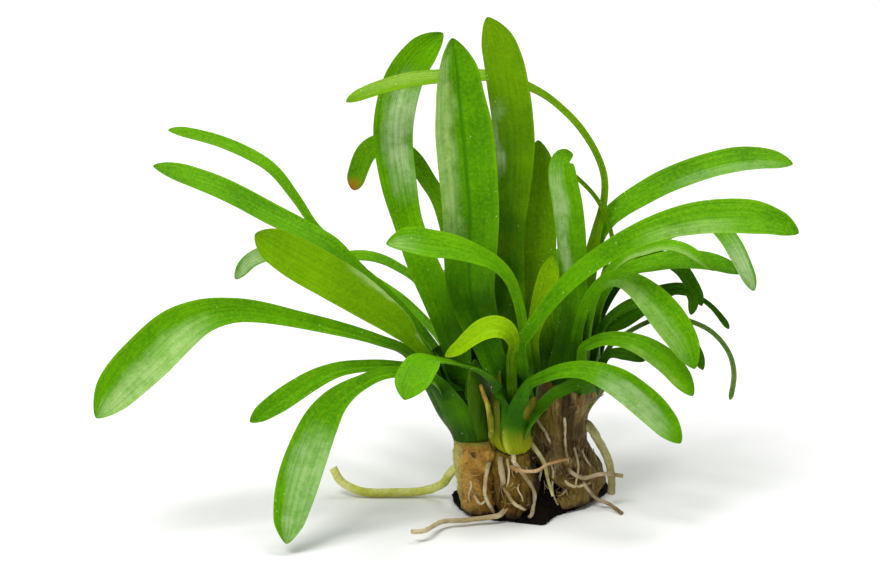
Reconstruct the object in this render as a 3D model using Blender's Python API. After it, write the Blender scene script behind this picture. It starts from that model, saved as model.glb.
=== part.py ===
"""Dwarf sagittaria: one rooted tuft of three crowns, with its rootstocks, runner, roots and leaves.

The tuft stands on the flat underside of its soil, which is z = 0, with the origin at its middle.
Points are given in millimetres as they are seen from the front: across, up and how far behind.
"""

import math
import random

import bmesh
import bpy
import numpy as np
from mathutils import Matrix, Vector
from mathutils.bvhtree import BVHTree

MM = 0.001

# The front view: it looks down by this angle, from this far, with its axis this far across and up
VIEW_TILT = math.radians(15.0)
VIEW_DISTANCE = 550.0
AXIS_ACROSS = -19.0
AXIS_UP = 43.4

# Clearance between pieces that touch, and round the faceted rootstocks
GAP = 0.3
WIDE_GAP = 0.5

# Heights at which the leaves part from each crown
LEFT_TOP = 24.5
MIDDLE_TOP = 24.5
RIGHT_TOP = 24.0

# Leaf sizes: a thick stalk thins to the blade, and its channel opens out
STALK_THICKNESS = 1.5
BLADE_THICKNESS = 0.6
STALK_FOLD = 0.45
STALK_LENGTH = 0.45
ROUND_TIP = 0.85
TIP_STEPS = (0.5, 0.16, 0.02)
THICKEST_SHARE = 0.7
TIP_THINNING = 0.5

# How far to each side of a point a leaf's direction is taken, and how far off sight lines start
PROBE = 0.2
SIGHT_REACH = 40.0

# Thickness of the runner, and how far roots stand off what they lie on
RUNNER_WIDTH = 1.8
ROOT_LIFT = 4 * GAP

EYE = Vector((0.0, -math.cos(VIEW_TILT), math.sin(VIEW_TILT)))
SKY = Vector((0.0, 0.0, 1.0))

COLOURS = {
    "fresh green": (0.10, 0.40, 0.012, 0.35),
    "deep green": (0.035, 0.19, 0.008, 0.4),
    "yellow green": (0.24, 0.50, 0.010, 0.35),
    "olive green": (0.20, 0.36, 0.015, 0.4),
    "grey green": (0.16, 0.30, 0.10, 0.4),
    "sheath green": (0.05, 0.20, 0.006, 0.4),
    "bulb green": (0.22, 0.36, 0.012, 0.4),
    "tan": (0.45, 0.22, 0.045, 0.6),
    "grey brown": (0.17, 0.11, 0.05, 0.7),
    "dark brown": (0.05, 0.028, 0.012, 0.8),
    "black soil": (0.008, 0.005, 0.004, 0.85),
    "runner green": (0.50, 0.58, 0.10, 0.45),
    "root cream": (0.55, 0.45, 0.30, 0.6),
    "root orange": (0.60, 0.28, 0.10, 0.6),
}


for old in list(bpy.data.objects):
    bpy.data.objects.remove(old)
tuft = bpy.data.collections.new("dwarf_sagittaria")
cutters = bpy.data.collections.new("cutters")
bpy.context.scene.collection.children.link(tuft)
bpy.context.scene.collection.children.link(cutters)


def finish(name):
    """The material of this name, made once."""
    if name in bpy.data.materials:
        return bpy.data.materials[name]
    red, green, blue, roughness = COLOURS[name]
    material = bpy.data.materials.new(name)
    material.use_nodes = True
    surface = material.node_tree.nodes["Principled BSDF"]
    surface.inputs["Base Color"].default_value = (red, green, blue, 1.0)
    surface.inputs["Roughness"].default_value = roughness
    surface.inputs["Metallic"].default_value = 0.0
    return material


def place(across, up, behind):
    """The point, in mm, that is seen this far across and up, and stands this far behind."""
    slope = math.cos(VIEW_TILT) + math.sin(VIEW_TILT) * (up - AXIS_UP) / VIEW_DISTANCE
    depth = (behind - up * math.sin(VIEW_TILT)) / slope
    reach = 1.0 + depth / VIEW_DISTANCE
    across = AXIS_ACROSS + (across - AXIS_ACROSS) * reach
    up = AXIS_UP + (up - AXIS_UP) * reach
    return Vector((across, behind, up * math.cos(VIEW_TILT) - depth * math.sin(VIEW_TILT)))


def smooth_rows(rows, samples=12):
    """Rows of numbers along a smooth curve through the given rows."""
    rows = [np.array(row, dtype=float) for row in rows]
    knots = [2 * rows[0] - rows[1], *rows, 2 * rows[-1] - rows[-2]]
    curve = []
    for before, start, end, after in zip(knots, knots[1:], knots[2:], knots[3:]):
        for step in range(samples):
            t = step / samples
            bend = 2 * before - 5 * start + 4 * end - after
            twist = 3 * start - before - 3 * end + after
            curve.append(start + 0.5 * (t * (end - before) + t * t * bend + t ** 3 * twist))
    curve.append(rows[-1])
    return np.array(curve)


def lengths_along(curve):
    """The distance of each row from the first, along the curve."""
    steps = np.linalg.norm(np.diff(curve[:, :3], axis=0), axis=1)
    return np.concatenate([[0.0], np.cumsum(steps)])


def rows_at(curve, places):
    """The curve's rows at these distances along it."""
    lengths = lengths_along(curve)
    return np.array([np.interp(places, lengths, column) for column in curve.T]).T


def ease(low, high, value):
    """0 below low, 1 above high, smooth between."""
    share = min(max((value - low) / (high - low), 0.0), 1.0)
    return share * share * (3.0 - 2.0 * share)


def add_piece(name, colour, mesh_data):
    """An object of this mesh, in metres, in the tuft's collection."""
    bmesh.ops.transform(mesh_data, matrix=Matrix.Scale(MM, 4), verts=mesh_data.verts)
    mesh = bpy.data.meshes.new(name)
    mesh_data.to_mesh(mesh)
    mesh_data.free()
    mesh.shade_smooth()
    mesh.materials.append(finish(colour))
    piece = bpy.data.objects.new(name, mesh)
    tuft.objects.link(piece)
    return piece


def skin(rings):
    """A closed surface over rings of points, with both ends filled."""
    shape = bmesh.new()
    loops = [[shape.verts.new(point) for point in ring] for ring in rings]
    count = len(rings[0])
    for lower, upper in zip(loops, loops[1:]):
        for i in range(count):
            j = (i + 1) % count
            shape.faces.new((lower[i], lower[j], upper[j], upper[i]))
    shape.faces.new(list(reversed(loops[0])))
    shape.faces.new(loops[-1])
    bmesh.ops.recalc_face_normals(shape, faces=shape.faces)
    return shape


def leaf_section(half, thick, fold, slim):
    """Points round a leaf's channelled section: side offset and height above its middle."""
    rise = fold * half
    if slim:
        outline = [(-1, 1, 0), (0, 0, 0), (1, 1, 0), (0.5, 0.25, 0.85), (-0.5, 0.25, 0.85)]
    else:
        outline = [(-1, 1, 0), (-0.5, 0.25, 0), (0, 0, 0), (0.5, 0.25, 0), (1, 1, 0),
                   (0.55, 0.3, 0.8), (0, 0, 1), (-0.55, 0.3, 0.8)]
    return [(side * half, lift * rise - depth * thick) for side, lift, depth in outline]


def leaf(name, colour, points, roll, fold=0.15, slot=None, top=None, rows=6, slim=False, face=EYE):
    """A leaf along points (across, up, behind, width), rolled about its length by two angles.

    The first angle is at the stalk and the second on the blade: 0 turns the face to the eye, and
    a positive angle turns it right on an upright leaf, up on one that goes left. A leaf with a
    slot starts there, cut level just above its crown's top.
    """
    knots = [(*place(across, up, behind), width) for across, up, behind, width in points]
    if slot:
        knots.insert(0, (slot[0], slot[1], top + GAP, points[0][3]))
    curve = smooth_rows(knots)
    total = lengths_along(curve)[-1]
    tip = ROUND_TIP * curve[-1][3]
    places = [*np.linspace(0.0, total - tip, rows), *(total - tip * step for step in TIP_STEPS)]
    middles = rows_at(curve, places)
    ahead = rows_at(curve, [distance + PROBE for distance in places])
    behind = rows_at(curve, [distance - PROBE for distance in places])
    rings = []
    for distance, middle, front, back in zip(places, middles, ahead, behind):
        along = Vector((front - back)[:3]).normalized()
        share = ease(0.0, STALK_LENGTH, distance / total)
        angle = math.radians(roll[0] + (roll[1] - roll[0]) * share)
        out = (face - along * face.dot(along)).normalized()
        out.rotate(Matrix.Rotation(angle, 3, along))
        side = along.cross(out)
        ending = min((total - distance) / tip, 1.0)
        rounding = math.sqrt(1.0 - (1.0 - ending) ** 2)
        half = 0.5 * middle[3] * rounding
        thick = STALK_THICKNESS + (BLADE_THICKNESS - STALK_THICKNESS) * share
        thick = min(thick, THICKEST_SHARE * middle[3]) * max(rounding, TIP_THINNING)
        channel = STALK_FOLD + (fold - STALK_FOLD) * share
        centre = Vector(middle[:3])
        section = leaf_section(half, thick, channel, slim)
        rings.append([centre + side * x + out * (y + 0.5 * thick) for x, y in section])
        if slot and distance == 0.0:
            rings[0] = [point + along * ((top + GAP - point.z) / along.z) for point in rings[0]]
    return add_piece(name, colour, skin(rings))


def lump(name, colour, rings, seed, rough=0.06, sides=14, rows=8, ridges=0, slant=0.0):
    """A rounded, uneven body on level rings (x, y, z, half width, half depth), lowest first.

    A slant draws the foot's right side back and its left side forward, less and less to the top.
    """
    chance = random.Random(seed)
    waves = [(chance.randint(2, 6), chance.uniform(0, 7), chance.uniform(0.3, 1.6)) for _ in range(5)]
    curve = smooth_rows(rings)
    picks = np.linspace(0, len(curve) - 1, rows).astype(int)
    loops = []
    for x, y, z, half_width, half_depth in curve[picks]:
        loop = []
        for side in range(sides):
            angle = 2 * math.pi * side / sides
            swell = sum(math.sin(turns * angle + start + rise * z) for turns, start, rise in waves)
            swell = 1.0 + rough * swell / 2.0
            if ridges:
                swell += 0.5 * rough * math.cos(ridges * angle)
            across = x + half_width * swell * math.cos(angle)
            draw_back = slant * (rings[-1][2] - z) / (rings[-1][2] - rings[0][2])
            behind = y + half_depth * swell * math.sin(angle) + draw_back * (across - x)
            loop.append((across, behind, z))
        loops.append(loop)
    return add_piece(name, colour, skin(loops))


def cut_by(piece, neighbour, gap):
    """Cut the neighbour out of the piece, with a gap round it."""
    shape = bmesh.new()
    shape.from_mesh(neighbour.data)
    shape.normal_update()
    for vertex in shape.verts:
        vertex.co += vertex.normal * gap * MM
    mesh = bpy.data.meshes.new(neighbour.name + "_cutter")
    shape.to_mesh(mesh)
    shape.free()
    cutter = bpy.data.objects.new(neighbour.name + "_cutter", mesh)
    cutter.hide_render = True
    cutter.display_type = "WIRE"
    cutters.objects.link(cutter)
    cut = piece.modifiers.new("clear of " + neighbour.name, "BOOLEAN")
    cut.operation = "DIFFERENCE"
    cut.solver = "EXACT"
    cut.object = cutter


# Rootstocks and crowns, each on level rings (x, y, z, half width, half depth)
rootstock_left = lump("rootstock_left", "tan", [
    (-11.0, -1.2, 1.0, 3.6, 4.0), (-11.3, -1.0, 3.0, 3.8, 4.7), (-11.7, -0.8, 7.0, 3.9, 4.9),
    (-12.0, -0.5, 11.0, 4.2, 4.8), (-12.0, -0.2, 15.4, 3.9, 4.3)], seed=3, rough=0.07)
rootstock_middle = lump("rootstock_middle", "dark brown", [
    (-4.1, -2.7, 1.0, 4.1, 4.4), (-4.1, -2.5, 5.0, 4.5, 4.9), (-4.2, -2.6, 9.0, 4.3, 4.5),
    (-4.1, -3.6, 13.6, 2.7, 2.9)], seed=8, rough=0.06, rows=6, sides=14)
rootstock_right = lump("rootstock_right", "grey brown", [
    (8.6, 5.8, 1.0, 5.0, 5.8), (8.4, 6.2, 4.5, 5.9, 6.3), (5.9, 6.3, 9.0, 5.7, 5.8),
    (4.7, 6.0, 14.0, 5.4, 5.0), (4.6, 5.6, 19.0, 5.4, 5.2), (6.8, 5.4, RIGHT_TOP, 6.5, 7.0)],
    seed=5, rough=0.07, sides=18, rows=9, ridges=9, slant=0.8)
crown_left = lump("crown_left", "sheath green", [
    (-12.2, -0.2, 15.8, 3.6, 3.9), (-12.7, -0.2, 18.0, 4.1, 4.4), (-13.8, 0.0, 21.0, 5.0, 5.5),
    (-15.0, 0.5, LEFT_TOP, 6.4, 7.3)], seed=12, rough=0.03, rows=5)
crown_middle = lump("crown_middle", "bulb green", [
    (-4.0, -4.6, 14.1, 1.7, 1.6), (-4.3, -4.6, 15.2, 2.9, 2.8), (-4.7, -4.6, 17.6, 3.5, 3.5),
    (-4.7, -4.6, 20.5, 3.4, 3.6), (-4.2, -4.6, MIDDLE_TOP, 4.2, 4.7)], seed=4, rough=0.02, rows=7)
lumps = [rootstock_left, rootstock_middle, rootstock_right, crown_left, crown_middle]
for stock in (rootstock_left, rootstock_right):
    cut_by(rootstock_middle, stock, gap=WIDE_GAP)

# The soil's plan, seen from above, from its foremost point round to the right
SOIL_PLAN = [(1.0, -8.4), (3.8, -3.6), (7.4, 0.2), (11.6, 5.4), (14.8, 11.0), (12.8, 13.8),
             (5.0, 15.0), (-5.0, 13.0), (-12.5, 10.5), (-15.8, 6.4), (-15.0, 1.6), (-13.2, -2.2),
             (-8.6, -5.4), (-3.4, -6.8)]
SOIL_LEVELS = [(0.0, 1.0), (0.9, 1.03), (2.0, 0.98), (3.4, 0.86), (5.2, 0.64), (7.4, 0.42), (9.2, 0.22)]


def soil_clod():
    """The wet black soil under the rootstocks, pressed flat below."""
    chance = random.Random(21)
    turn = SOIL_PLAN[-2:] + SOIL_PLAN + SOIL_PLAN[:2]
    outline = smooth_rows([(x, y, 0.0) for x, y in turn], samples=2)[4:-5]
    loops = []
    for height, spread in SOIL_LEVELS:
        loop = []
        for x, y, _ in outline:
            crumb = 1.0 + chance.uniform(-0.03, 0.03)
            rise = height * (1.0 - 0.4 * ease(0.0, 8.0, -y))
            if height > 0:
                rise += chance.uniform(-0.2, 0.2)
            loop.append((x * spread * crumb, y * spread * crumb, rise))
        loops.append(loop)
    return add_piece("soil_clod", "black soil", skin(loops))


soil = soil_clod()
for stock in (rootstock_left, rootstock_middle, rootstock_right):
    cut_by(soil, stock, gap=WIDE_GAP)


def surface_tree(pieces):
    """A search tree of these pieces' faces, in metres."""
    points = []
    faces = []
    for piece in pieces:
        start = len(points)
        points += [vertex.co.copy() for vertex in piece.data.vertices]
        faces += [[start + index for index in face.vertices] for face in piece.data.polygons]
    return BVHTree.FromPolygons(points, faces)


lump_faces = surface_tree(lumps + [soil])


def lay(across, up, lift):
    """The point seen here, this far in front of the rootstocks, crowns or soil behind it."""
    near = place(across, up, -SIGHT_REACH)
    sight = (place(across, up, SIGHT_REACH) - near).normalized()
    spot = lump_faces.ray_cast(near * MM, sight)[0]
    return spot / MM - sight * lift


def strand(name, colour, points, width, thin_end=0.5, samples=3, sides=1):
    """A root or runner: points (across, up, behind), where behind None lays it on the rootstocks."""
    knots = []
    for across, up, behind in points:
        spot = lay(across, up, 0.5 * width + ROOT_LIFT) if behind is None else place(across, up, behind)
        knots.append(tuple(spot))
    path = smooth_rows(knots, samples)
    curve = bpy.data.curves.new(name, "CURVE")
    curve.dimensions = "3D"
    curve.bevel_depth = 0.5 * width * MM
    curve.bevel_resolution = sides
    curve.use_fill_caps = True
    spline = curve.splines.new("POLY")
    spline.points.add(len(path) - 1)
    for index, (knot, spot) in enumerate(zip(spline.points, path)):
        knot.co = (*(spot * MM), 1.0)
        knot.radius = 1.0 + (thin_end - 1.0) * index / (len(path) - 1)
    curve.materials.append(finish(colour))
    piece = bpy.data.objects.new(name, curve)
    tuft.objects.link(piece)
    return piece


# Runner and main roots
strand("runner", "runner green", [
    (-17.0, 7.4, 3.6), (-18.6, 5.4, 6.0), (-22.4, 4.0, 8.0), (-28.4, 3.7, 8.0), (-34.6, 3.9, 8.2),
    (-38.6, 5.8, 8.6), (-40.4, 8.6, 9.2)], RUNNER_WIDTH, thin_end=0.9, samples=3, sides=2)
strand("root_left_ground", "root cream", [
    (-7.6, -1.0, -7.6), (-13.4, -1.8, -9.0), (-18.8, -2.2, -11.2), (-22.0, -3.9, -17.8),
    (-24.8, -4.1, -18.6)], 1.1, thin_end=0.8)
strand("root_left_front", "root cream", [
    (-9.6, 8.0, None), (-10.0, 3.4, None), (-8.6, 0.4, None)], 1.1, thin_end=0.7)
strand("root_pale_short", "root cream", [
    (-6.9, 9.6, None), (-6.7, 8.2, None), (-6.4, 6.2, None)], 1.2, thin_end=0.8)
strand("root_middle_front", "root cream", [
    (-4.0, 9.6, None), (-2.0, 6.8, None), (-0.2, 4.0, None), (-0.2, 1.6, None), (-0.6, -0.6, None)],
    1.0, thin_end=0.8)
strand("root_orange", "root orange", [
    (-3.8, 8.2, -10.0), (0.2, 8.0, -8.4), (2.4, 9.3, -6.2), (5.8, 10.2, -3.4)], 0.9, thin_end=0.7)
strand("root_right_front", "root cream", [
    (0.0, 12.4, -4.6), (1.8, 9.6, -4.2), (2.7, 5.8, -5.2), (3.6, 3.0, -6.4)], 1.0, thin_end=0.7)
strand("root_right_level", "root cream", [
    (7.4, 7.6, None), (9.6, 6.6, None), (13.6, 7.4, 0.0), (17.6, 7.0, 0.4)], 1.0, thin_end=0.7)
strand("root_right_low", "root cream", [
    (10.0, 5.0, None), (12.2, 2.6, 1.2), (14.8, 1.4, 0.8), (17.4, -0.4, -2.4)], 0.9, thin_end=0.6)
strand("root_right_loop", "root cream", [
    (11.4, 16.3, 3.6), (12.5, 14.4, 3.4), (13.7, 12.2, 3.2), (14.8, 9.6, 3.0), (15.3, 6.6, 3.0),
    (15.3, 3.4, 3.0)], 1.9, thin_end=0.8)


def left_leaves():
    """Leaves of the left crown, from the highest down."""
    leaf("leaf_left_thin", "yellow green", [
        (-23.4, 34.4, 5.5, 1.6), (-31.0, 44.2, 8.0, 1.6), (-37.2, 50.8, 9.5, 1.7),
        (-43.8, 56.4, 11.0, 2.2), (-47.8, 62.0, 11.6, 2.8), (-52.2, 67.6, 12.0, 3.4),
        (-56.8, 70.8, 12.3, 3.8), (-64.0, 73.8, 12.5, 3.8), (-73.4, 76.2, 12.5, 3.2)],
        roll=(70, 52), slot=(-19.4, 3.7), top=LEFT_TOP)
    leaf("leaf_left_long", "fresh green", [
        (-23.4, 33.8, 2.5, 2.2), (-34.8, 46.8, 3.0, 3.4), (-40.4, 52.4, 3.0, 5.2),
        (-46.2, 55.6, 3.0, 6.2), (-52.8, 58.8, 2.8, 6.8), (-59.6, 62.4, 2.5, 6.8),
        (-65.8, 65.2, 2.2, 6.6), (-76.4, 69.0, 2.0, 5.4)],
        roll=(75, 52), slot=(-18.6, 1.2), top=LEFT_TOP)
    leaf("leaf_left_broad", "olive green", [
        (-23.8, 32.6, -1.6, 3.0), (-27.6, 37.4, -2.6, 5.4), (-34.8, 42.8, -4.0, 7.6),
        (-41.0, 46.6, -5.0, 8.2), (-48.4, 50.8, -6.0, 8.0), (-56.0, 55.4, -7.0, 5.6)],
        roll=(45, 6), fold=0.12, slot=(-18.4, -1.1), top=LEFT_TOP)
    leaf("leaf_left_grey_tip", "grey green", [
        (-22.0, 32.0, 11.6, 1.8), (-32.0, 41.0, 16.0, 2.4), (-42.0, 48.0, 19.0, 3.4),
        (-50.0, 51.6, 20.0, 3.8), (-56.0, 50.4, 20.0, 3.6), (-60.0, 46.4, 20.0, 3.0)],
        roll=(70, 25), slot=(-18.0, 6.2), top=LEFT_TOP, slim=True, rows=5)
    leaf("leaf_left_arching", "fresh green", [
        (-25.4, 31.0, -5.8, 2.2), (-31.4, 33.8, -6.4, 2.4), (-39.0, 36.2, -7.6, 2.9),
        (-48.0, 38.4, -9.6, 3.4), (-55.4, 39.8, -11.2, 4.2), (-61.0, 40.0, -12.6, 5.0),
        (-66.6, 38.8, -14.2, 6.8), (-71.8, 35.8, -16.0, 9.0), (-77.0, 31.0, -18.0, 9.6),
        (-82.6, 25.4, -20.0, 8.6), (-87.8, 18.6, -22.0, 5.0)],
        roll=(60, 5), fold=0.18, slot=(-20.6, -3.1), top=LEFT_TOP, rows=9)
    leaf("leaf_left_low", "fresh green", [
        (-23.0, 27.6, -7.6, 2.0), (-29.0, 28.9, -9.2, 2.2), (-34.4, 28.9, -10.0, 2.5),
        (-39.6, 28.1, -11.6, 3.1), (-44.8, 25.8, -13.2, 4.1), (-51.0, 21.8, -14.8, 4.4),
        (-57.0, 17.8, -16.0, 2.6)], roll=(60, 15), slot=(-18.9, -4.9), top=LEFT_TOP)
    leaf("leaf_left_drooping", "fresh green", [
        (-21.0, 26.4, -9.4, 2.0), (-29.0, 27.6, -12.6, 2.4), (-35.0, 25.5, -14.6, 3.1),
        (-39.6, 22.3, -16.4, 5.0), (-42.8, 17.8, -18.2, 7.0), (-45.6, 11.2, -20.4, 8.0),
        (-47.6, 5.0, -22.2, 8.0), (-49.0, -1.2, -23.8, 6.4), (-49.7, -6.6, -25.4, 3.6)],
        roll=(50, 0), fold=0.18, slot=(-16.4, -5.4), top=LEFT_TOP, rows=8)
    leaf("leaf_left_behind_low", "deep green", [
        (-20.8, 33.2, 8.0, 2.2), (-24.8, 38.0, 9.4, 2.6), (-29.8, 43.2, 10.8, 3.0), (-34.4, 47.2, 11.8, 3.0),
        (-39.2, 50.4, 12.6, 2.6)],
        roll=(60, 45), slot=(-15.8, 3.0), top=LEFT_TOP, slim=True, rows=5)
    leaf("leaf_left_behind", "fresh green", [
        (-18.0, 36.2, 10.0, 1.8), (-23.0, 45.0, 13.4, 2.2), (-27.6, 48.6, 14.8, 2.6),
        (-32.0, 50.5, 15.8, 3.0), (-36.6, 50.8, 16.4, 3.0), (-42.0, 49.6, 16.8, 2.2)],
        roll=(60, 50), slot=(-13.4, 4.4), top=LEFT_TOP, slim=True, rows=5)
    leaf("leaf_left_upright", "fresh green", [
        (-16.8, 34.2, 2.6, 4.4), (-19.8, 42.2, 4.0, 5.0), (-23.0, 50.0, 5.6, 5.4),
        (-25.4, 57.6, 7.0, 5.8), (-27.2, 65.0, 8.2, 7.0), (-28.4, 73.6, 9.2, 7.7),
        (-28.0, 80.0, 9.8, 7.9), (-26.2, 86.4, 10.2, 7.6), (-22.8, 91.6, 10.4, 6.4),
        (-18.4, 95.6, 10.4, 4.6)], roll=(0, 4), fold=0.22, slot=(-13.2, 0.6), top=LEFT_TOP, rows=8)
    leaf("leaf_left_orange_tip", "fresh green", [
        (-11.4, 36.2, 6.4, 2.2), (-15.4, 50.0, 9.0, 2.8), (-18.8, 61.0, 12.0, 3.2),
        (-21.6, 66.0, 13.6, 3.6), (-24.8, 70.4, 15.0, 4.0), (-29.4, 73.2, 16.4, 4.4),
        (-33.6, 71.4, 17.6, 4.6), (-36.4, 64.2, 18.6, 3.8)],
        roll=(0, 20), slot=(-10.8, 3.4), top=LEFT_TOP, rows=7)


def middle_leaves():
    """Leaves of the middle crown: the tall ones, then the short curled ones in front."""
    leaf("leaf_middle_folded", "fresh green", [
        (-8.8, 31.0, -1.6, 5.2), (-11.0, 37.4, -0.6, 7.4), (-13.0, 44.2, 0.2, 9.2),
        (-13.2, 51.0, 0.8, 10.4), (-12.9, 58.8, 1.2, 11.6), (-13.2, 65.0, 1.4, 12.0),
        (-13.8, 71.0, 1.4, 12.0), (-14.6, 77.0, 1.2, 11.2), (-15.2, 82.8, 1.0, 9.6),
        (-15.6, 88.0, 0.8, 8.0), (-16.6, 94.6, 0.4, 5.4)],
        roll=(0, 6), fold=0.42, slot=(-5.9, -3.0), top=MIDDLE_TOP, rows=8)
    leaf("leaf_middle_tallest", "fresh green", [
        (-4.4, 32.0, 1.6, 4.0), (-5.2, 45.0, 4.6, 4.4), (-5.2, 56.0, 6.0, 5.2), (-4.4, 63.0, 6.2, 6.6),
        (-4.0, 72.0, 6.0, 7.8), (-4.5, 79.0, 5.4, 8.1), (-5.3, 84.6, 4.8, 8.1), (-6.2, 89.6, 4.2, 7.7),
        (-7.6, 94.2, 3.6, 6.6), (-9.6, 98.8, 3.0, 4.8)],
        roll=(0, -5), fold=0.2, slot=(-3.3, -0.7), top=MIDDLE_TOP, rows=8)
    leaf("leaf_middle_arching", "fresh green", [
        (-2.2, 33.0, -4.8, 2.0), (-3.2, 40.2, -5.2, 2.2), (-5.0, 45.8, -6.0, 2.6),
        (-7.8, 49.1, -7.0, 3.2), (-11.4, 50.9, -8.0, 4.2), (-16.0, 52.4, -9.0, 5.4),
        (-21.0, 53.2, -10.0, 6.2), (-25.4, 53.8, -11.0, 5.8), (-29.8, 53.8, -12.0, 4.2)],
        roll=(10, 30), slot=(-1.9, -4.5), top=MIDDLE_TOP, rows=8)
    leaf("leaf_middle_lime", "yellow green", [
        (-5.0, 29.6, -7.6, 2.0), (-4.4, 33.4, -8.8, 2.6), (-5.6, 35.8, -9.8, 4.0),
        (-7.8, 36.6, -10.8, 4.8), (-10.4, 36.0, -11.6, 4.6), (-12.8, 34.4, -12.2, 3.8),
        (-15.2, 32.4, -12.8, 3.0), (-18.0, 30.8, -13.2, 2.0)],
        roll=(0, 28), slot=(-4.6, -6.4), top=MIDDLE_TOP, rows=7)
    leaf("leaf_middle_toward", "fresh green", [
        (-8.5, 25.7, -10.3, 1.9), (-11.4, 28.0, -11.8, 1.8), (-15.0, 29.2, -14.2, 1.9),
        (-18.6, 29.9, -17.2, 2.8), (-21.6, 30.0, -20.8, 5.6), (-23.0, 28.2, -24.8, 7.0),
        (-24.6, 25.2, -28.4, 6.8), (-26.1, 22.2, -31.4, 5.0)],
        roll=(0, -8), slot=(-6.9, -7.5), top=MIDDLE_TOP, face=SKY, rows=8)
    leaf("leaf_middle_short", "yellow green", [
        (-0.6, 34.0, -2.2, 2.6), (1.0, 41.0, -1.8, 4.0), (2.4, 46.4, -1.6, 4.2),
        (3.4, 51.0, -1.4, 3.0)], roll=(0, 10), slot=(-0.5, -2.4), top=MIDDLE_TOP, slim=True, rows=4)
    leaf("leaf_middle_low_right", "fresh green", [
        (-1.4, 24.8, -10.4, 2.2), (1.8, 26.4, -11.0, 2.6), (5.2, 27.7, -11.6, 3.0), (9.0, 28.1, -12.4, 3.6),
        (12.8, 27.2, -13.2, 4.8), (16.6, 25.4, -14.0, 6.0), (20.2, 22.8, -14.8, 6.4),
        (24.0, 19.4, -15.6, 6.2), (29.2, 13.6, -16.6, 4.0)],
        roll=(-50, -18), slot=(-3.6, -8.3), top=MIDDLE_TOP, rows=8)
    leaf("leaf_middle_dark", "deep green", [
        (1.3, 20.6, -6.8, 1.8), (3.4, 22.8, -6.2, 2.4), (6.4, 24.4, -5.6, 2.8), (10.4, 26.2, -5.2, 2.8),
        (15.6, 26.8, -5.0, 2.2)], roll=(-50, -35), slim=True, rows=5)
    leaf("leaf_middle_long_right", "fresh green", [
        (-2.4, 32.0, -8.2, 2.4), (-0.6, 36.0, -9.2, 2.8), (3.4, 41.6, -10.6, 3.2),
        (8.6, 47.2, -11.4, 4.0), (16.6, 52.8, -12.4, 4.6), (24.0, 56.2, -13.2, 5.6),
        (31.0, 58.0, -13.8, 6.8), (37.4, 58.6, -14.2, 7.4), (43.6, 58.4, -14.4, 7.4),
        (48.4, 57.6, -14.4, 6.4), (52.6, 56.0, -14.2, 4.6)],
        roll=(-40, -28), slot=(-1.0, -6.6), top=MIDDLE_TOP, rows=9)


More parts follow.
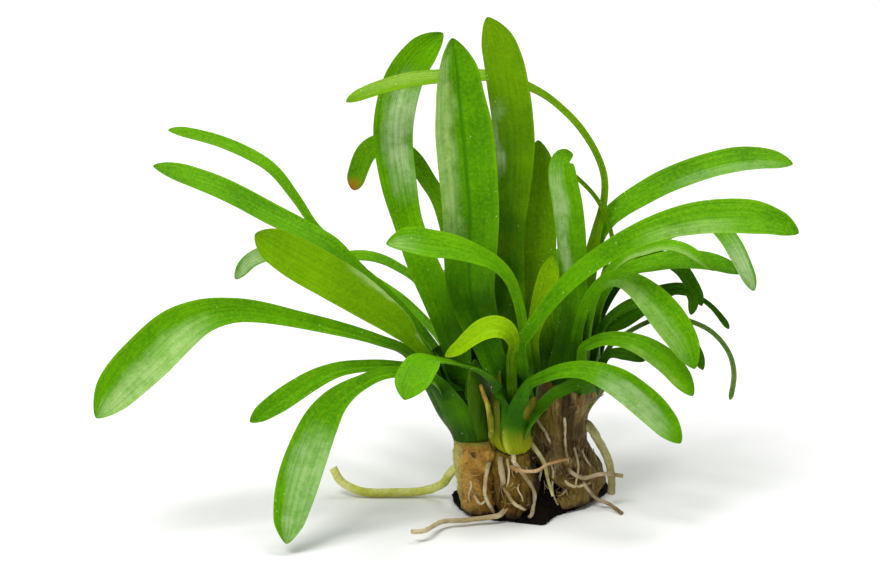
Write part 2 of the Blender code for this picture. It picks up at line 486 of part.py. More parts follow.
def right_leaves():
    """Leaves of the right crown: upright, then the arching ones from the highest down."""
    leaf("leaf_right_upright", "fresh green", [
        (6.4, 33.0, 1.6, 4.0), (7.7, 41.0, 1.6, 5.2), (7.4, 49.0, 1.6, 5.6), (7.1, 55.0, 1.5, 5.8),
        (6.4, 61.0, 1.4, 5.9), (5.4, 66.6, 1.4, 5.6), (5.4, 70.4, 2.0, 4.6), (7.6, 71.4, 2.8, 3.6)],
        roll=(0, 5), fold=0.25, slot=(4.4, 1.7), top=RIGHT_TOP, rows=7)
    leaf("leaf_right_olive", "olive green", [
        (1.0, 33.0, 4.6, 3.2), (-0.6, 43.0, 7.6, 5.0), (-0.6, 53.0, 9.6, 6.0), (0.2, 62.2, 10.6, 6.2),
        (0.9, 69.0, 11.0, 5.4), (0.6, 74.2, 11.0, 3.6)],
        roll=(0, 0), fold=0.2, slot=(2.4, 4.3), top=RIGHT_TOP, rows=6)
    leaf("leaf_right_sweeping", "yellow green", [
        (9.2, 38.2, 5.6, 2.6), (10.8, 50.4, 8.0, 3.0), (12.0, 56.0, 9.2, 2.4), (13.5, 62.0, 10.4, 1.8),
        (13.6, 67.0, 11.2, 1.7), (11.8, 72.0, 11.6, 1.7), (8.8, 76.6, 11.6, 1.8),
        (5.4, 80.2, 11.2, 1.8), (1.2, 83.4, 10.4, 2.0), (-4.8, 86.0, 8.6, 2.6), (-11.4, 86.9, 6.8, 3.2),
        (-18.8, 86.6, 5.2, 3.8), (-25.0, 85.9, 3.8, 4.2), (-31.4, 84.2, 2.6, 3.8),
        (-37.8, 81.8, 1.6, 2.6)], roll=(0, 42), slot=(6.4, 3.5), top=RIGHT_TOP, rows=12)
    leaf("leaf_right_dry_stalk", "olive green", [
        (10.4, 37.0, 13.2, 1.0), (12.8, 45.0, 11.8, 0.9), (14.6, 50.6, 9.6, 0.9), (15.3, 55.2, 8.0, 0.9),
        (12.6, 62.0, 8.0, 0.9), (8.2, 66.8, 7.6, 0.9), (4.6, 69.2, 7.2, 0.8)],
        roll=(0, 0), slot=(8.9, 10.4), top=RIGHT_TOP, slim=True, rows=6)
    leaf("leaf_right_high", "fresh green", [
        (10.8, 42.0, 9.6, 2.4), (12.2, 52.4, 11.0, 3.2), (14.2, 57.4, 11.6, 4.4),
        (17.4, 60.4, 12.0, 5.2), (21.4, 62.9, 12.4, 5.8), (25.8, 65.3, 12.8, 6.2),
        (30.4, 67.2, 13.0, 6.4), (35.4, 68.8, 13.2, 6.4), (40.6, 69.9, 13.4, 6.4),
        (45.6, 70.3, 13.4, 6.0), (51.4, 69.8, 13.2, 4.4)],
        roll=(-45, -38), slot=(7.3, 5.8), top=RIGHT_TOP, rows=8)
    leaf("leaf_right_hanging_tip", "grey green", [
        (12.4, 40.2, 11.0, 1.8), (18.0, 51.4, 10.4, 2.2), (24.0, 56.0, 8.4, 2.8),
        (30.4, 58.2, 6.4, 3.4), (35.0, 57.8, 4.4, 3.8), (38.2, 54.8, 2.8, 4.0), (40.6, 50.8, 1.6, 4.0),
        (43.8, 44.0, 0.8, 2.8)], roll=(-50, -24), slot=(7.8, 8.4), top=RIGHT_TOP, rows=6)
    leaf("leaf_right_level_back", "deep green", [
        (12.6, 38.0, 5.4, 1.8), (15.0, 45.0, 5.6, 2.4), (19.0, 48.0, 5.0, 3.4), (23.4, 49.2, 4.4, 4.6),
        (28.4, 49.9, 3.8, 5.2), (33.2, 49.7, 3.4, 5.2), (37.0, 49.0, 3.2, 4.6), (41.4, 47.4, 3.2, 2.8)],
        roll=(-55, -45), slot=(12.2, 4.6), top=RIGHT_TOP, rows=6)
    leaf("leaf_right_level_front", "fresh green", [
        (11.0, 37.0, 1.4, 1.8), (13.4, 45.4, 0.8, 2.2), (17.6, 50.2, 0.0, 2.6), (22.0, 52.0, -1.0, 3.0),
        (26.0, 52.9, -2.0, 3.2), (29.6, 52.2, -3.0, 3.4), (32.8, 50.2, -3.8, 3.2), (35.8, 48.0, -4.4, 2.2)],
        roll=(-55, -48), slot=(9.6, 2.4), top=RIGHT_TOP, rows=6)
    leaf("leaf_right_dark_tip", "deep green", [
        (13.0, 38.0, 13.6, 1.8), (18.0, 47.0, 13.2, 2.2), (24.0, 50.6, 11.0, 2.8), (28.6, 48.6, 8.4, 3.2),
        (31.4, 44.8, 7.4, 3.0), (33.4, 41.0, 6.6, 2.2)],
        roll=(-50, -25), slot=(10.6, 9.2), top=RIGHT_TOP, slim=True, rows=5)
    leaf("leaf_right_spoon_tip", "deep green", [
        (14.4, 35.0, 8.8, 1.0), (20.0, 41.0, 9.0, 1.0), (26.0, 43.4, 8.6, 1.0), (31.0, 43.2, 8.0, 1.0),
        (35.0, 41.0, 7.2, 1.1), (38.8, 36.4, 6.6, 1.6)],
        roll=(-40, -20), slot=(12.0, 7.8), top=RIGHT_TOP, slim=True, rows=5)
    leaf("leaf_right_dark_broad", "deep green", [
        (12.4, 34.6, 7.8, 2.2), (17.6, 38.4, 7.4, 4.2), (22.4, 41.8, 6.0, 4.4), (26.4, 43.9, 5.4, 3.0),
        (29.8, 44.3, 4.8, 2.2), (31.4, 42.4, 4.6, 2.2), (31.2, 39.2, 4.4, 2.2)],
        roll=(-50, -20), slot=(10.0, 6.8), top=RIGHT_TOP, slim=True, rows=5)
    leaf("leaf_right_drooping", "fresh green", [
        (8.8, 36.0, -2.6, 2.2), (11.0, 42.4, -3.6, 2.4), (14.0, 45.8, -4.6, 2.8),
        (17.0, 46.4, -6.2, 3.6), (20.0, 45.0, -7.8, 4.8), (23.2, 42.2, -9.4, 6.2),
        (26.4, 38.4, -11.0, 7.0), (29.4, 34.0, -12.6, 6.6), (32.0, 28.6, -14.2, 4.4)],
        roll=(-40, -14), slot=(7.4, -0.9), top=RIGHT_TOP, rows=8)
    leaf("leaf_right_behind_drooping", "grey green", [
        (13.0, 35.6, 3.2, 1.8), (18.6, 41.0, 1.6, 2.2), (24.0, 41.0, -0.4, 2.6), (28.4, 37.0, -2.4, 3.0),
        (31.4, 32.6, -3.8, 3.0), (33.6, 28.2, -4.8, 2.4)],
        roll=(-50, -20), slot=(11.5, 2.5), top=RIGHT_TOP, slim=True, rows=5)
    leaf("leaf_right_thin_stalk", "olive green", [
        (15.0, 32.6, 3.6, 1.0), (21.0, 37.0, 2.8, 1.0), (26.4, 38.8, 2.0, 1.0), (31.0, 37.9, 1.2, 1.0),
        (35.4, 35.7, 0.4, 1.0), (38.6, 31.8, -0.2, 1.0), (39.7, 27.4, -0.6, 1.1),
        (39.0, 22.2, -1.0, 1.1)], roll=(-40, -10), slot=(12.8, 6.4), top=RIGHT_TOP, slim=True, rows=8)
    leaf("leaf_right_low", "fresh green", [
        (9.6, 31.4, -5.0, 2.0), (11.2, 33.2, -5.6, 2.4), (14.0, 34.2, -6.0, 2.8), (17.4, 34.1, -6.8, 3.4),
        (21.0, 33.0, -8.0, 4.4), (24.4, 31.0, -9.4, 5.2), (27.4, 28.4, -10.6, 5.2), (31.6, 23.0, -12.4, 3.8)],
        roll=(-50, -26), slot=(10.2, -0.6), top=RIGHT_TOP, rows=6)
    leaf("leaf_right_low_dark", "deep green", [
        (14.2, 30.6, 0.0, 1.8), (18.0, 31.2, -1.2, 2.8), (22.0, 30.0, -2.4, 2.6)],
        roll=(-50, -30), slot=(12.1, 0.8), top=RIGHT_TOP, slim=True, rows=5)


def back_leaves():
    """Leaves on the far side, spread round as on the near side."""
    leaf("leaf_back_far_left", "fresh green", [
        (-19.0, 34.0, 14.0, 2.0), (-26.0, 41.0, 20.0, 3.4), (-33.0, 45.0, 28.0, 5.4),
        (-38.0, 47.0, 36.0, 6.0), (-42.0, 46.0, 43.0, 4.4)],
        roll=(0, -10), slot=(-15.6, 6.8), top=LEFT_TOP, face=SKY, rows=6)
    leaf("leaf_back_left", "deep green", [
        (-12.2, 34.0, 11.0, 2.2), (-14.0, 44.0, 21.0, 4.0), (-15.4, 47.6, 33.0, 6.0),
        (-16.0, 43.6, 47.0, 4.6)], roll=(0, 0), slot=(-12.4, 7.0), top=LEFT_TOP, face=SKY, rows=6)
    leaf("leaf_back_tall", "fresh green", [
        (-8.8, 36.0, 9.6, 2.4), (-10.8, 48.0, 15.0, 3.6), (-12.6, 62.0, 21.0, 5.8),
        (-13.6, 74.0, 25.0, 6.6), (-14.2, 82.0, 28.0, 4.8)],
        roll=(0, -12), slot=(-9.9, 5.8), top=LEFT_TOP, rows=6)
    leaf("leaf_back_tall_right", "deep green", [
        (0.8, 38.0, 13.6, 2.4), (-0.8, 50.0, 18.4, 3.4), (-2.8, 64.0, 24.0, 5.4),
        (-4.2, 74.0, 29.0, 6.2), (-5.4, 80.0, 33.0, 4.6)],
        roll=(0, 10), slot=(4.2, 8.1), top=RIGHT_TOP, rows=6)
    leaf("leaf_back_middle", "fresh green", [
        (3.6, 36.0, 10.6, 2.6), (3.4, 46.0, 18.0, 4.4), (2.2, 51.6, 30.0, 6.2),
        (0.0, 50.0, 45.0, 4.4)], roll=(0, 0), slot=(1.4, 6.6), top=RIGHT_TOP, face=SKY, rows=6)
    leaf("leaf_back_right", "fresh green", [
        (6.4, 37.0, 15.0, 2.2), (7.6, 47.0, 24.0, 3.8), (8.6, 50.6, 34.0, 5.8), (8.8, 47.0, 48.0, 4.6)],
        roll=(0, 0), slot=(5.8, 10.4), top=RIGHT_TOP, face=SKY, rows=6)
    leaf("leaf_back_far_right", "fresh green", [
        (13.6, 43.0, 18.0, 2.2), (20.4, 51.6, 24.0, 3.6), (28.4, 56.0, 31.0, 5.6),
        (36.0, 57.6, 40.0, 4.4)], roll=(0, 10), slot=(7.2, 12.0), top=RIGHT_TOP, face=SKY, rows=6)
    leaf("leaf_back_low_right", "deep green", [
        (14.0, 35.0, 16.0, 2.0), (20.0, 39.4, 22.0, 3.2), (25.0, 39.8, 30.0, 5.2),
        (29.0, 36.4, 38.0, 4.2)], roll=(0, 10), slot=(10.9, 11.6), top=RIGHT_TOP, face=SKY, rows=6)


left_leaves()
middle_leaves()
right_leaves()
back_leaves()
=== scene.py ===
"""Looks of the rooted tuft of dwarf sagittaria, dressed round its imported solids.

Points are in millimetres as they are seen from the front: across, up and how far behind. Stems and
crowns are given by level rings (x, y, z, half width, half depth), in millimetres too. The tuft stands
on z = 0, and every finished piece has its place in its mesh, in metres.
"""

import math
import random

import bmesh
import bpy
import numpy as np
from mathutils import Matrix, Vector, noise
from mathutils.bvhtree import BVHTree


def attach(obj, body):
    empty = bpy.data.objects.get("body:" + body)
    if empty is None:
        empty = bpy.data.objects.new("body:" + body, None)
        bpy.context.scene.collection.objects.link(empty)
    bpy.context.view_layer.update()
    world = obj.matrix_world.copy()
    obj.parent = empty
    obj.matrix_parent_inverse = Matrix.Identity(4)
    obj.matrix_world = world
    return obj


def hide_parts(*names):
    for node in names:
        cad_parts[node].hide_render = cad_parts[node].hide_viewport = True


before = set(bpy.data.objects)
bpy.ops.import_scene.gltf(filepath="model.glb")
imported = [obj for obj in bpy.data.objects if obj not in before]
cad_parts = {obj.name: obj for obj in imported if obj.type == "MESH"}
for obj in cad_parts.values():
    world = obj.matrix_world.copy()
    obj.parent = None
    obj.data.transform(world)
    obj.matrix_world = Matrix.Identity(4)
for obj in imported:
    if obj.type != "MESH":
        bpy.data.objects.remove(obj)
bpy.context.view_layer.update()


# Left rootstock
# A short swollen stem, the oldest part of the left crown: tan and orange, blotched with brown where
# old leaves came away, and wet. It grew in one piece with the crown above it.
MM = 0.001

LEFT_STOCK = [(-11.0, -1.2, 1.0, 3.6, 4.0), (-11.3, -1.0, 3.0, 3.8, 4.7), (-11.7, -0.8, 7.0, 3.9, 4.9),
              (-12.0, -0.5, 11.0, 4.2, 4.8), (-12.0, -0.2, 15.7, 3.9, 4.3)]
LEFT_PIT = Vector((-12.4, -5.0, 13.4))
PIT_WIDTH = 0.55
PIT_DEPTH = 0.7


def smooth_rows(rows, samples=12):
    """Rows of numbers along a smooth curve through the given rows."""
    rows = [np.array(row, dtype=float) for row in rows]
    knots = [2 * rows[0] - rows[1], *rows, 2 * rows[-1] - rows[-2]]
    curve = []
    for before, start, end, after in zip(knots, knots[1:], knots[2:], knots[3:]):
        bend = 2 * before - 5 * start + 4 * end - after
        twist = 3 * start - before - 3 * end + after
        for step in range(samples):
            t = step / samples
            curve.append(start + 0.5 * (t * (end - before) + t * t * bend + t ** 3 * twist))
    return np.array([*curve, rows[-1]])


def rows_at(curve, places, known=None):
    """The curve's rows at these places along it, counted in rows or by the known places of its rows."""
    known = range(len(curve)) if known is None else known
    return np.array([np.interp(places, known, column) for column in np.array(curve).T]).T


def skin(rings):
    """A closed mesh over rings of points, in mm, with a fan over each end."""
    shape = bmesh.new()
    loops = [[shape.verts.new(Vector(point) * MM) for point in ring] for ring in rings]
    count = len(rings[0])
    for lower, upper in zip(loops, loops[1:]):
        for i in range(count):
            j = (i + 1) % count
            shape.faces.new((lower[i], lower[j], upper[j], upper[i]))
    for loop, turn in ((loops[0], -1), (loops[-1], 1)):
        middle = shape.verts.new(sum((vertex.co for vertex in loop), Vector()) / count)
        for i in range(count):
            shape.faces.new((*(loop[i], loop[(i + 1) % count])[::turn], middle))
    bmesh.ops.recalc_face_normals(shape, faces=shape.faces)
    return shape


def plain_mesh(name, shape):
    """The mesh of this shape, which is then freed."""
    mesh = bpy.data.meshes.new(name)
    shape.to_mesh(mesh)
    shape.free()
    return mesh


def put(name, data):
    """A new object of this data, in the scene."""
    made = bpy.data.objects.new(name, data)
    bpy.context.scene.collection.objects.link(made)
    return made


def add_piece(name, mesh, nodes=(), material=None):
    """The piece of this mesh or shape. It rides on the tuft and stands for these solids."""
    if material:
        mesh = plain_mesh(name, mesh)
        mesh.materials.append(material)
    mesh.shade_smooth()
    piece = put(name, mesh)
    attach(piece, "root")
    if nodes:
        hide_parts(*nodes)


def stock(rings, seed, rough, relief, ridges=0, slant=0.0, sides=150, rows=110):
    """A swollen stem on level rings, with its own surface relief.

    A slant draws the foot's right side back and its left side forward, less and less to the top.
    """
    chance = random.Random(seed)
    waves = [(chance.randint(2, 6), chance.uniform(0, 7), chance.uniform(0.3, 1.6)) for _ in range(5)]
    curve = smooth_rows(rings)
    loops = []
    for x, y, z, half_width, half_depth in rows_at(curve, np.linspace(0, len(curve) - 1, rows)):
        draw_back = slant * (rings[-1][2] - z) / (rings[-1][2] - rings[0][2])
        loop = []
        for side in range(sides):
            angle = 2 * math.pi * side / sides
            swell = sum(math.sin(turns * angle + start + rise * z) for turns, start, rise in waves)
            swell = 1.0 + rough * swell / 2.0 + (0.5 * rough * math.cos(ridges * angle) if ridges else 0.0)
            outward = Vector((math.cos(angle), math.sin(angle), 0.0))
            across = half_width * swell * outward.x
            point = Vector((x + across, y + half_depth * swell * outward.y + draw_back * across, z))
            loop.append(point + outward * relief(point, angle))
        loops.append(loop)
    return skin(loops)


def blotched_relief(point, angle):
    """Low swellings, faint rings of old leaf scars, fine grain and one pit."""
    swelling = 0.4 * noise.fractal(point * 0.35, 1.0, 2.0, 3)
    scars = 0.1 * math.sin(2.6 * point.z + 1.2 * noise.noise(point * 0.5))
    grain = 0.12 * noise.noise(point * 2.4) + 0.06 * noise.noise(point * 6.0)
    pit = PIT_DEPTH * math.exp(-((point - LEFT_PIT).length / PIT_WIDTH) ** 2)
    return swelling + scars + grain - pit


class Field:
    """A node's output in a node tree, for sums on it to be written as on plain numbers."""

    def __init__(self, node, output=0):
        self.node = node
        self.tree = node.id_data
        self.socket = node.outputs[output]

    def __getitem__(self, output):
        return Field(self.node, output)

    def __add__(self, other):
        return sum_of("ADD", self, other)

    def __sub__(self, other):
        return sum_of("SUBTRACT", self, other)

    def __rsub__(self, other):
        return sum_of("SUBTRACT", other, self)

    def __mul__(self, other):
        return sum_of("MULTIPLY", self, other)

    def __abs__(self):
        return sum_of("ABSOLUTE", self)

    def fade(self, low, high, start=0.0, end=1.0):
        """Start where the value is low, end where it is high, smooth between."""
        return add_node("ShaderNodeMapRange", {"Value": self, "From Min": low, "From Max": high,
                                               "To Min": start, "To Max": end},
                        interpolation_type="SMOOTHSTEP")


def set_inputs(sockets, values):
    """Set each of these input sockets to its value, or join it to its field."""
    for key, value in values.items():
        if isinstance(value, Field):
            value.tree.links.new(value.socket, sockets[key])
        elif isinstance(value, tuple) and sockets[key].type == "RGBA":
            sockets[key].default_value = (*value, 1.0)
        else:
            sockets[key].default_value = value


def add_node(kind, inputs=None, tree=None, **settings):
    """A node with these settings and inputs, in the tree of the fields among its inputs."""
    inputs = inputs or {}
    tree = next((value.tree for value in inputs.values() if isinstance(value, Field)), tree)
    made = tree.nodes.new(kind)
    for key, value in settings.items():
        setattr(made, key, value)
    set_inputs(made.inputs, inputs)
    return Field(made)


def sum_of(operation, first, second=0.0, clamp=False):
    """The result of one sum on numbers."""
    return add_node("ShaderNodeMath", {0: first, 1: second}, operation=operation, use_clamp=clamp)


def parts_of(vector):
    """A vector's X, Y and Z."""
    return add_node("ShaderNodeSeparateXYZ", {0: vector})


def vector_of(x, y, z):
    """The vector of these three parts."""
    return add_node("ShaderNodeCombineXYZ", {0: x, 1: y, 2: z})


def vector_sum(operation, first, second=(0.0, 0.0, 0.0)):
    """The result of one sum on vectors."""
    made = add_node("ShaderNodeVectorMath", {0: first, 1: second}, operation=operation)
    return made["Value" if operation in ("DISTANCE", "DOT_PRODUCT") else "Vector"]


def tint(mask, below, above, mode="MIX"):
    """The colour below with the colour above laid over it by the mask."""
    return add_node("ShaderNodeMix", {0: mask, 6: below, 7: above}, data_type="RGBA", blend_type=mode)[2]


def layered(colour, *layers):
    """A colour with others laid over it in turn, each given with its mask."""
    for mask, above in layers:
        colour = tint(mask, colour, above)
    return colour


def noise_at(position, scale, detail=3.0, rough=0.55):
    """Noise from 0 to 1 at this position, with its scale per metre."""
    return add_node("ShaderNodeTexNoise", {"Vector": position, "Scale": scale, "Detail": detail,
                                           "Roughness": rough})["Fac"]


INPUT_KINDS = {float: "NodeSocketFloat", int: "NodeSocketInt", tuple: "NodeSocketVector",
               type(None): "NodeSocketMaterial"}


def open_tree(name, kind, inputs):
    """A node tree with these named inputs, each of the kind of its value, and their fields."""
    tree = bpy.data.node_groups.new(name, kind)
    if kind == "GeometryNodeTree":
        tree.interface.new_socket("Geometry", in_out="INPUT", socket_type="NodeSocketGeometry")
    for label, value in inputs.items():
        socket = tree.interface.new_socket(label, in_out="INPUT", socket_type=INPUT_KINDS[type(value)])
        if value is not None:
            socket.default_value = value
    return tree, Field(tree.nodes.new("NodeGroupInput"))


def close_group(tree, outputs):
    """The shader group with these named masks as its outputs."""
    for label in outputs:
        tree.interface.new_socket(label, in_out="OUTPUT", socket_type="NodeSocketFloat")
    set_inputs(tree.nodes.new("NodeGroupOutput").inputs, outputs)
    return tree


ORIGIN = (0.0, 0.0, 0.0)


def wet_mottle():
    """Soft patches, fine grain and tiny bright specks, painted glints as on any wet part of the plant."""
    tree, entry = open_tree("wet mottle", "ShaderNodeTree", {
        "Position": ORIGIN, "Patch Scale": 200.0, "Grain Scale": 2200.0})
    cells = add_node("ShaderNodeTexVoronoi", {"Vector": entry["Position"], "Scale": 620.0})
    rare = add_node("ShaderNodeSeparateColor", {0: cells["Color"]})
    return close_group(tree, {
        "Patches": noise_at(entry["Position"], entry["Patch Scale"]).fade(0.32, 0.68),
        "Grain": noise_at(entry["Position"], entry["Grain Scale"], 4.0, 0.6),
        "Glint Specks": cells["Distance"].fade(0.05, 0.11, 1.0, 0.0) * rare.fade(0.72, 0.8)})


def soil_stain():
    """Black soil, rubbed on from the ground up, in blotches."""
    tree, entry = open_tree("soil stain", "ShaderNodeTree", {"Position": ORIGIN, "Height": 0.004})
    share = sum_of("DIVIDE", parts_of(entry["Position"])["Z"], entry["Height"])
    ragged = noise_at(entry["Position"], 900.0) * -1.3 + share
    return close_group(tree, {"Stain": ragged.fade(-0.35, 0.6, 1.0, 0.0)})


WET_MOTTLE = wet_mottle()
SOIL_STAIN = soil_stain()
SOIL_BLACK = (0.012, 0.008, 0.006)
SPECULAR_LEVEL = 0.13


def mottle_at(position, patch_scale, grain_scale):
    """The wet mottle here, with the scales of its patches and its grain per metre."""
    return add_node("ShaderNodeGroup", {
        "Position": position, "Patch Scale": patch_scale, "Grain Scale": grain_scale}, node_tree=WET_MOTTLE)


def soil_on(position, height):
    """The soil stain here, up to about this height, and its colour, as a layer."""
    stain = add_node("ShaderNodeGroup", {"Position": position, "Height": height}, node_tree=SOIL_STAIN)
    return stain, SOIL_BLACK


def new_finish(name):
    """A material and its Object coordinates."""
    material = bpy.data.materials.new(name)
    material.use_nodes = True
    return material, add_node("ShaderNodeTexCoord", tree=material.node_tree)["Object"]


def end_finish(material, colour, roughness, relief, depth, **others):
    """Join a material's colour, roughness and relief, a height mask and its depth, to its shader."""
    bump = add_node("ShaderNodeBump", {"Height": relief, "Distance": depth, "Strength": 1.0})
    set_inputs(material.node_tree.nodes["Principled BSDF"].inputs, {
        "Base Color": colour, "Roughness": roughness, "Normal": bump, "Specular IOR Level": SPECULAR_LEVEL,
        **{key.replace("_", " "): value for key, value in others.items()}})
    return material


def tan_stock_finish():
    """Wet tan stem: orange and brown blotches, paler scars, painted shade in crevice lines and the pit, soil
    at its foot.
    """
    material, position = new_finish("tan rootstock")
    parts = parts_of(position)
    mottle = mottle_at(position, 330.0, 1900.0)
    patches = mottle["Patches"]
    wide = noise_at(position, 230.0, 5.0, 0.65)
    left_rim = parts["X"].fade(-0.0158, -0.0142, 0.75, 0.0)
    green_edge = (patches * 0.0012 + parts["Z"]).fade(0.0146, 0.0164, 0.0, 0.7)
    lower = (wide * 0.006 + parts["Z"]).fade(0.0035, 0.0095, 0.6, 0.0)
    # Painted shade: dark lines standing in for the shade in crevices.
    crevice_shade = abs(wide - 0.5).fade(0.0, 0.022, 0.45, 0.0)
    specks = noise_at(position, 800.0, 2.0, 0.5).fade(0.62, 0.72)
    # Painted shade: the pit darkened nearly to black.
    pit = vector_sum("DISTANCE", position, LEFT_PIT * MM).fade(0.0004, 0.0010, 0.9, 0.0)
    colour = layered(
        (0.32, 0.14, 0.014), (wide.fade(0.38, 0.6), (0.60, 0.31, 0.035)),
        (patches * 0.6, (0.56, 0.36, 0.09)), (left_rim, (0.56, 0.55, 0.15)),
        (green_edge, (0.15, 0.20, 0.02)), (lower, (0.32, 0.20, 0.03)), (crevice_shade, (0.13, 0.055, 0.014)),
        (specks * 0.45, (0.12, 0.05, 0.014)), (pit, (0.05, 0.018, 0.010)), soil_on(position, 0.002))
    return end_finish(material, colour, mottle["Grain"].fade(0.3, 0.7, 0.30, 0.56),
                      mottle["Grain"] + wide, depth=0.0005)


add_piece("left_rootstock", stock(LEFT_STOCK, seed=3, rough=0.07, relief=blotched_relief),
          ["rootstock_left"], tan_stock_finish())


# Middle rootstock
# The stem between the other two: a mass of swollen old root bases grown together, olive-tan above and
# dark orange-brown below, with near-black painted shade down its right side. It holds the middle crown.
MIDDLE_STOCK = [(-4.1, -2.7, 1.0, 4.1, 4.4), (-4.1, -2.5, 5.0, 4.5, 4.9), (-4.3, -2.6, 9.0, 4.4, 4.5),
                (-4.6, -3.4, 13.8, 3.3, 2.9)]


def matted_relief(point, angle):
    """Upright cords of old roots, with hollows between them."""
    cords = noise.noise(Vector((point.x * 0.55, point.y * 0.55, point.z * 0.14)))
    fine = noise.noise(Vector((point.x * 1.7, point.y * 1.7, point.z * 0.4)))
    return 1.5 * (0.42 - abs(cords)) - 0.25 + 0.28 * fine + 0.1 * noise.noise(point * 3.0)


def long_fibres():
    """Upright fibres: streaks stretched along z."""
    tree, entry = open_tree("long fibres", "ShaderNodeTree", {
        "Position": ORIGIN, "Density": 900.0, "Stretch": 0.08})
    parts = parts_of(entry["Position"])
    drawn = vector_of(parts["X"], parts["Y"], parts["Z"] * entry["Stretch"])
    return close_group(tree, {
        "Broad": noise_at(drawn, entry["Density"], 3.0, 0.6).fade(0.36, 0.64),
        "Fine": noise_at(drawn, entry["Density"] * 3.2, 3.0, 0.6).fade(0.34, 0.66)})


LONG_FIBRES = long_fibres()


def fibres_at(position, density, stretch):
    """The long fibres here, this many per metre, drawn out along z as this factor is small."""
    return add_node("ShaderNodeGroup", {
        "Position": position, "Density": density, "Stretch": stretch}, node_tree=LONG_FIBRES)


def root_mass_finish():
    """Wet swollen root bases: olive-tan above, orange-brown below, near-black painted shade on the right
    side.
    """
    material, position = new_finish("swollen root bases")
    parts = parts_of(position)
    fibres = fibres_at(position, 420.0, 0.22)
    mottle = mottle_at(position, 300.0, 2400.0)
    olive = tint(fibres["Broad"], (0.12, 0.062, 0.004), (0.31, 0.20, 0.020))
    brown = tint(fibres["Broad"], (0.035, 0.013, 0.002), (0.19, 0.085, 0.010))
    above = (mottle["Patches"] * 0.003 + parts["Z"]).fade(0.0055, 0.0095)
    # Painted shade: the right side, towards the gap by the right stem, goes near-black.
    right = (mottle["Patches"] * 0.002 + parts["X"]).fade(-0.0022, 0.0006, 0.0, 0.92)
    colour = layered(brown, (above, olive), (fibres["Fine"] * 0.2, (0.46, 0.32, 0.08)),
                     (right, (0.010, 0.006, 0.003)), soil_on(position, 0.0025))
    return end_finish(material, colour, mottle["Grain"].fade(0.3, 0.7, 0.32, 0.58),
                      fibres["Fine"] + mottle["Grain"], depth=0.0004)


add_piece("middle_rootstock", stock(MIDDLE_STOCK, seed=8, rough=0.06, relief=matted_relief),
          ["rootstock_middle"], root_mass_finish())


# Right rootstock
# The tallest of the three, grey-brown and ribbed with the fibres of old leaf bases, which run down it
# and loosen at its top where the right crown's leaves come out.
RIGHT_STOCK = [(8.6, 5.8, 1.0, 5.0, 5.8), (8.4, 6.2, 4.5, 5.9, 6.3), (5.9, 6.3, 9.0, 5.7, 5.8),
               (4.7, 6.0, 14.0, 5.4, 5.0), (4.6, 5.6, 19.0, 5.4, 5.2), (6.8, 5.4, 24.0, 6.5, 7.0)]


def ribbed_relief(point, angle):
    """Upright ribs of unequal width, split by narrow grooves."""
    ribs = noise.noise(Vector((3.2 * math.cos(angle), 3.2 * math.sin(angle), point.z * 0.05)))
    fine = noise.noise(Vector((11.0 * math.cos(angle), 11.0 * math.sin(angle), point.z * 0.12)))
    return 0.9 * (0.35 - abs(ribs)) + 0.3 * fine + 0.12 * noise.noise(point * 1.6)


def fibre_finish(name, dark, middle, pale):
    """Wet fibrous stem: dark, middle and pale streaks along it, an upright band of painted shade high on it,
    and soil at its foot.
    """
    material, position = new_finish(name)
    parts = parts_of(position)
    fibres = fibres_at(position, 520.0, 0.09)
    mottle = mottle_at(position, 240.0, 2600.0)
    patches = mottle["Patches"]
    # Painted shade: a near-black upright band high on the stem, the shade under the leaves above.
    aside = abs(patches * 0.0012 + (parts["X"] - 0.0068))
    hollow = aside.fade(0.0004, 0.0016, 0.75, 0.0) * parts["Z"].fade(0.010, 0.015)
    swollen = (patches * 0.004 + parts["Z"]).fade(0.005, 0.010, 0.55, 0.0)
    left_side = parts["X"].fade(0.0024, 0.0052, 0.7, 0.0) * parts["Z"].fade(0.0145, 0.0175)
    colour = layered(
        dark, (fibres["Broad"], middle), (fibres["Fine"] * 0.5, pale),
        (patches.fade(0.0, 1.0, 0.5, 0.0), dark), (hollow, (0.018, 0.008, 0.002)),
        (swollen, (0.27, 0.17, 0.030)), (left_side, (0.22, 0.15, 0.012)), soil_on(position, 0.002))
    return end_finish(material, colour, fibres["Fine"].fade(0.0, 1.0, 0.42, 0.68),
                      mottle["Grain"] * 0.5 + (fibres["Broad"] + fibres["Fine"]), depth=0.0004)


ribbed_stock = stock(RIGHT_STOCK, seed=5, rough=0.07, relief=ribbed_relief, ridges=9, slant=0.8, sides=200)
stock_faces = BVHTree.FromBMesh(ribbed_stock)
stock_browns = fibre_finish("ribbed grey brown rootstock", (0.055, 0.026, 0.004), (0.28, 0.175, 0.032),
                            (0.55, 0.41, 0.17))
add_piece("right_rootstock", ribbed_stock, ["rootstock_right"], stock_browns)


# Fibres of the right rootstock
# The strings that old leaf bases leave behind: flat brown threads, still fixed at their lower ends
# and peeling a little from the ribs under them. Geometry Nodes sweep a section along each.
FIBRE_COUNT = 150
FIBRE_STEPS = 8
FIBRE_SEED = 31
FIBRE_TOP = 23.0
RAY_START = 0.02


def spine_host(name, spines):
    """A loose-edged mesh of these spines, each a list of (x, y, z, width) in mm."""
    mesh = bpy.data.meshes.new(name)
    rows = np.concatenate([np.array(spine) for spine in spines])
    edges = []
    start = 0
    for spine in spines:
        edges += [(start + i, start + i + 1) for i in range(len(spine) - 1)]
        start += len(spine)
    mesh.from_pydata([Vector(row[:3]) * MM for row in rows], edges, [])
    mesh.attributes.new("width", "FLOAT", "POINT").data.foreach_set("value", rows[:, 3] * MM)
    return put(name, mesh)


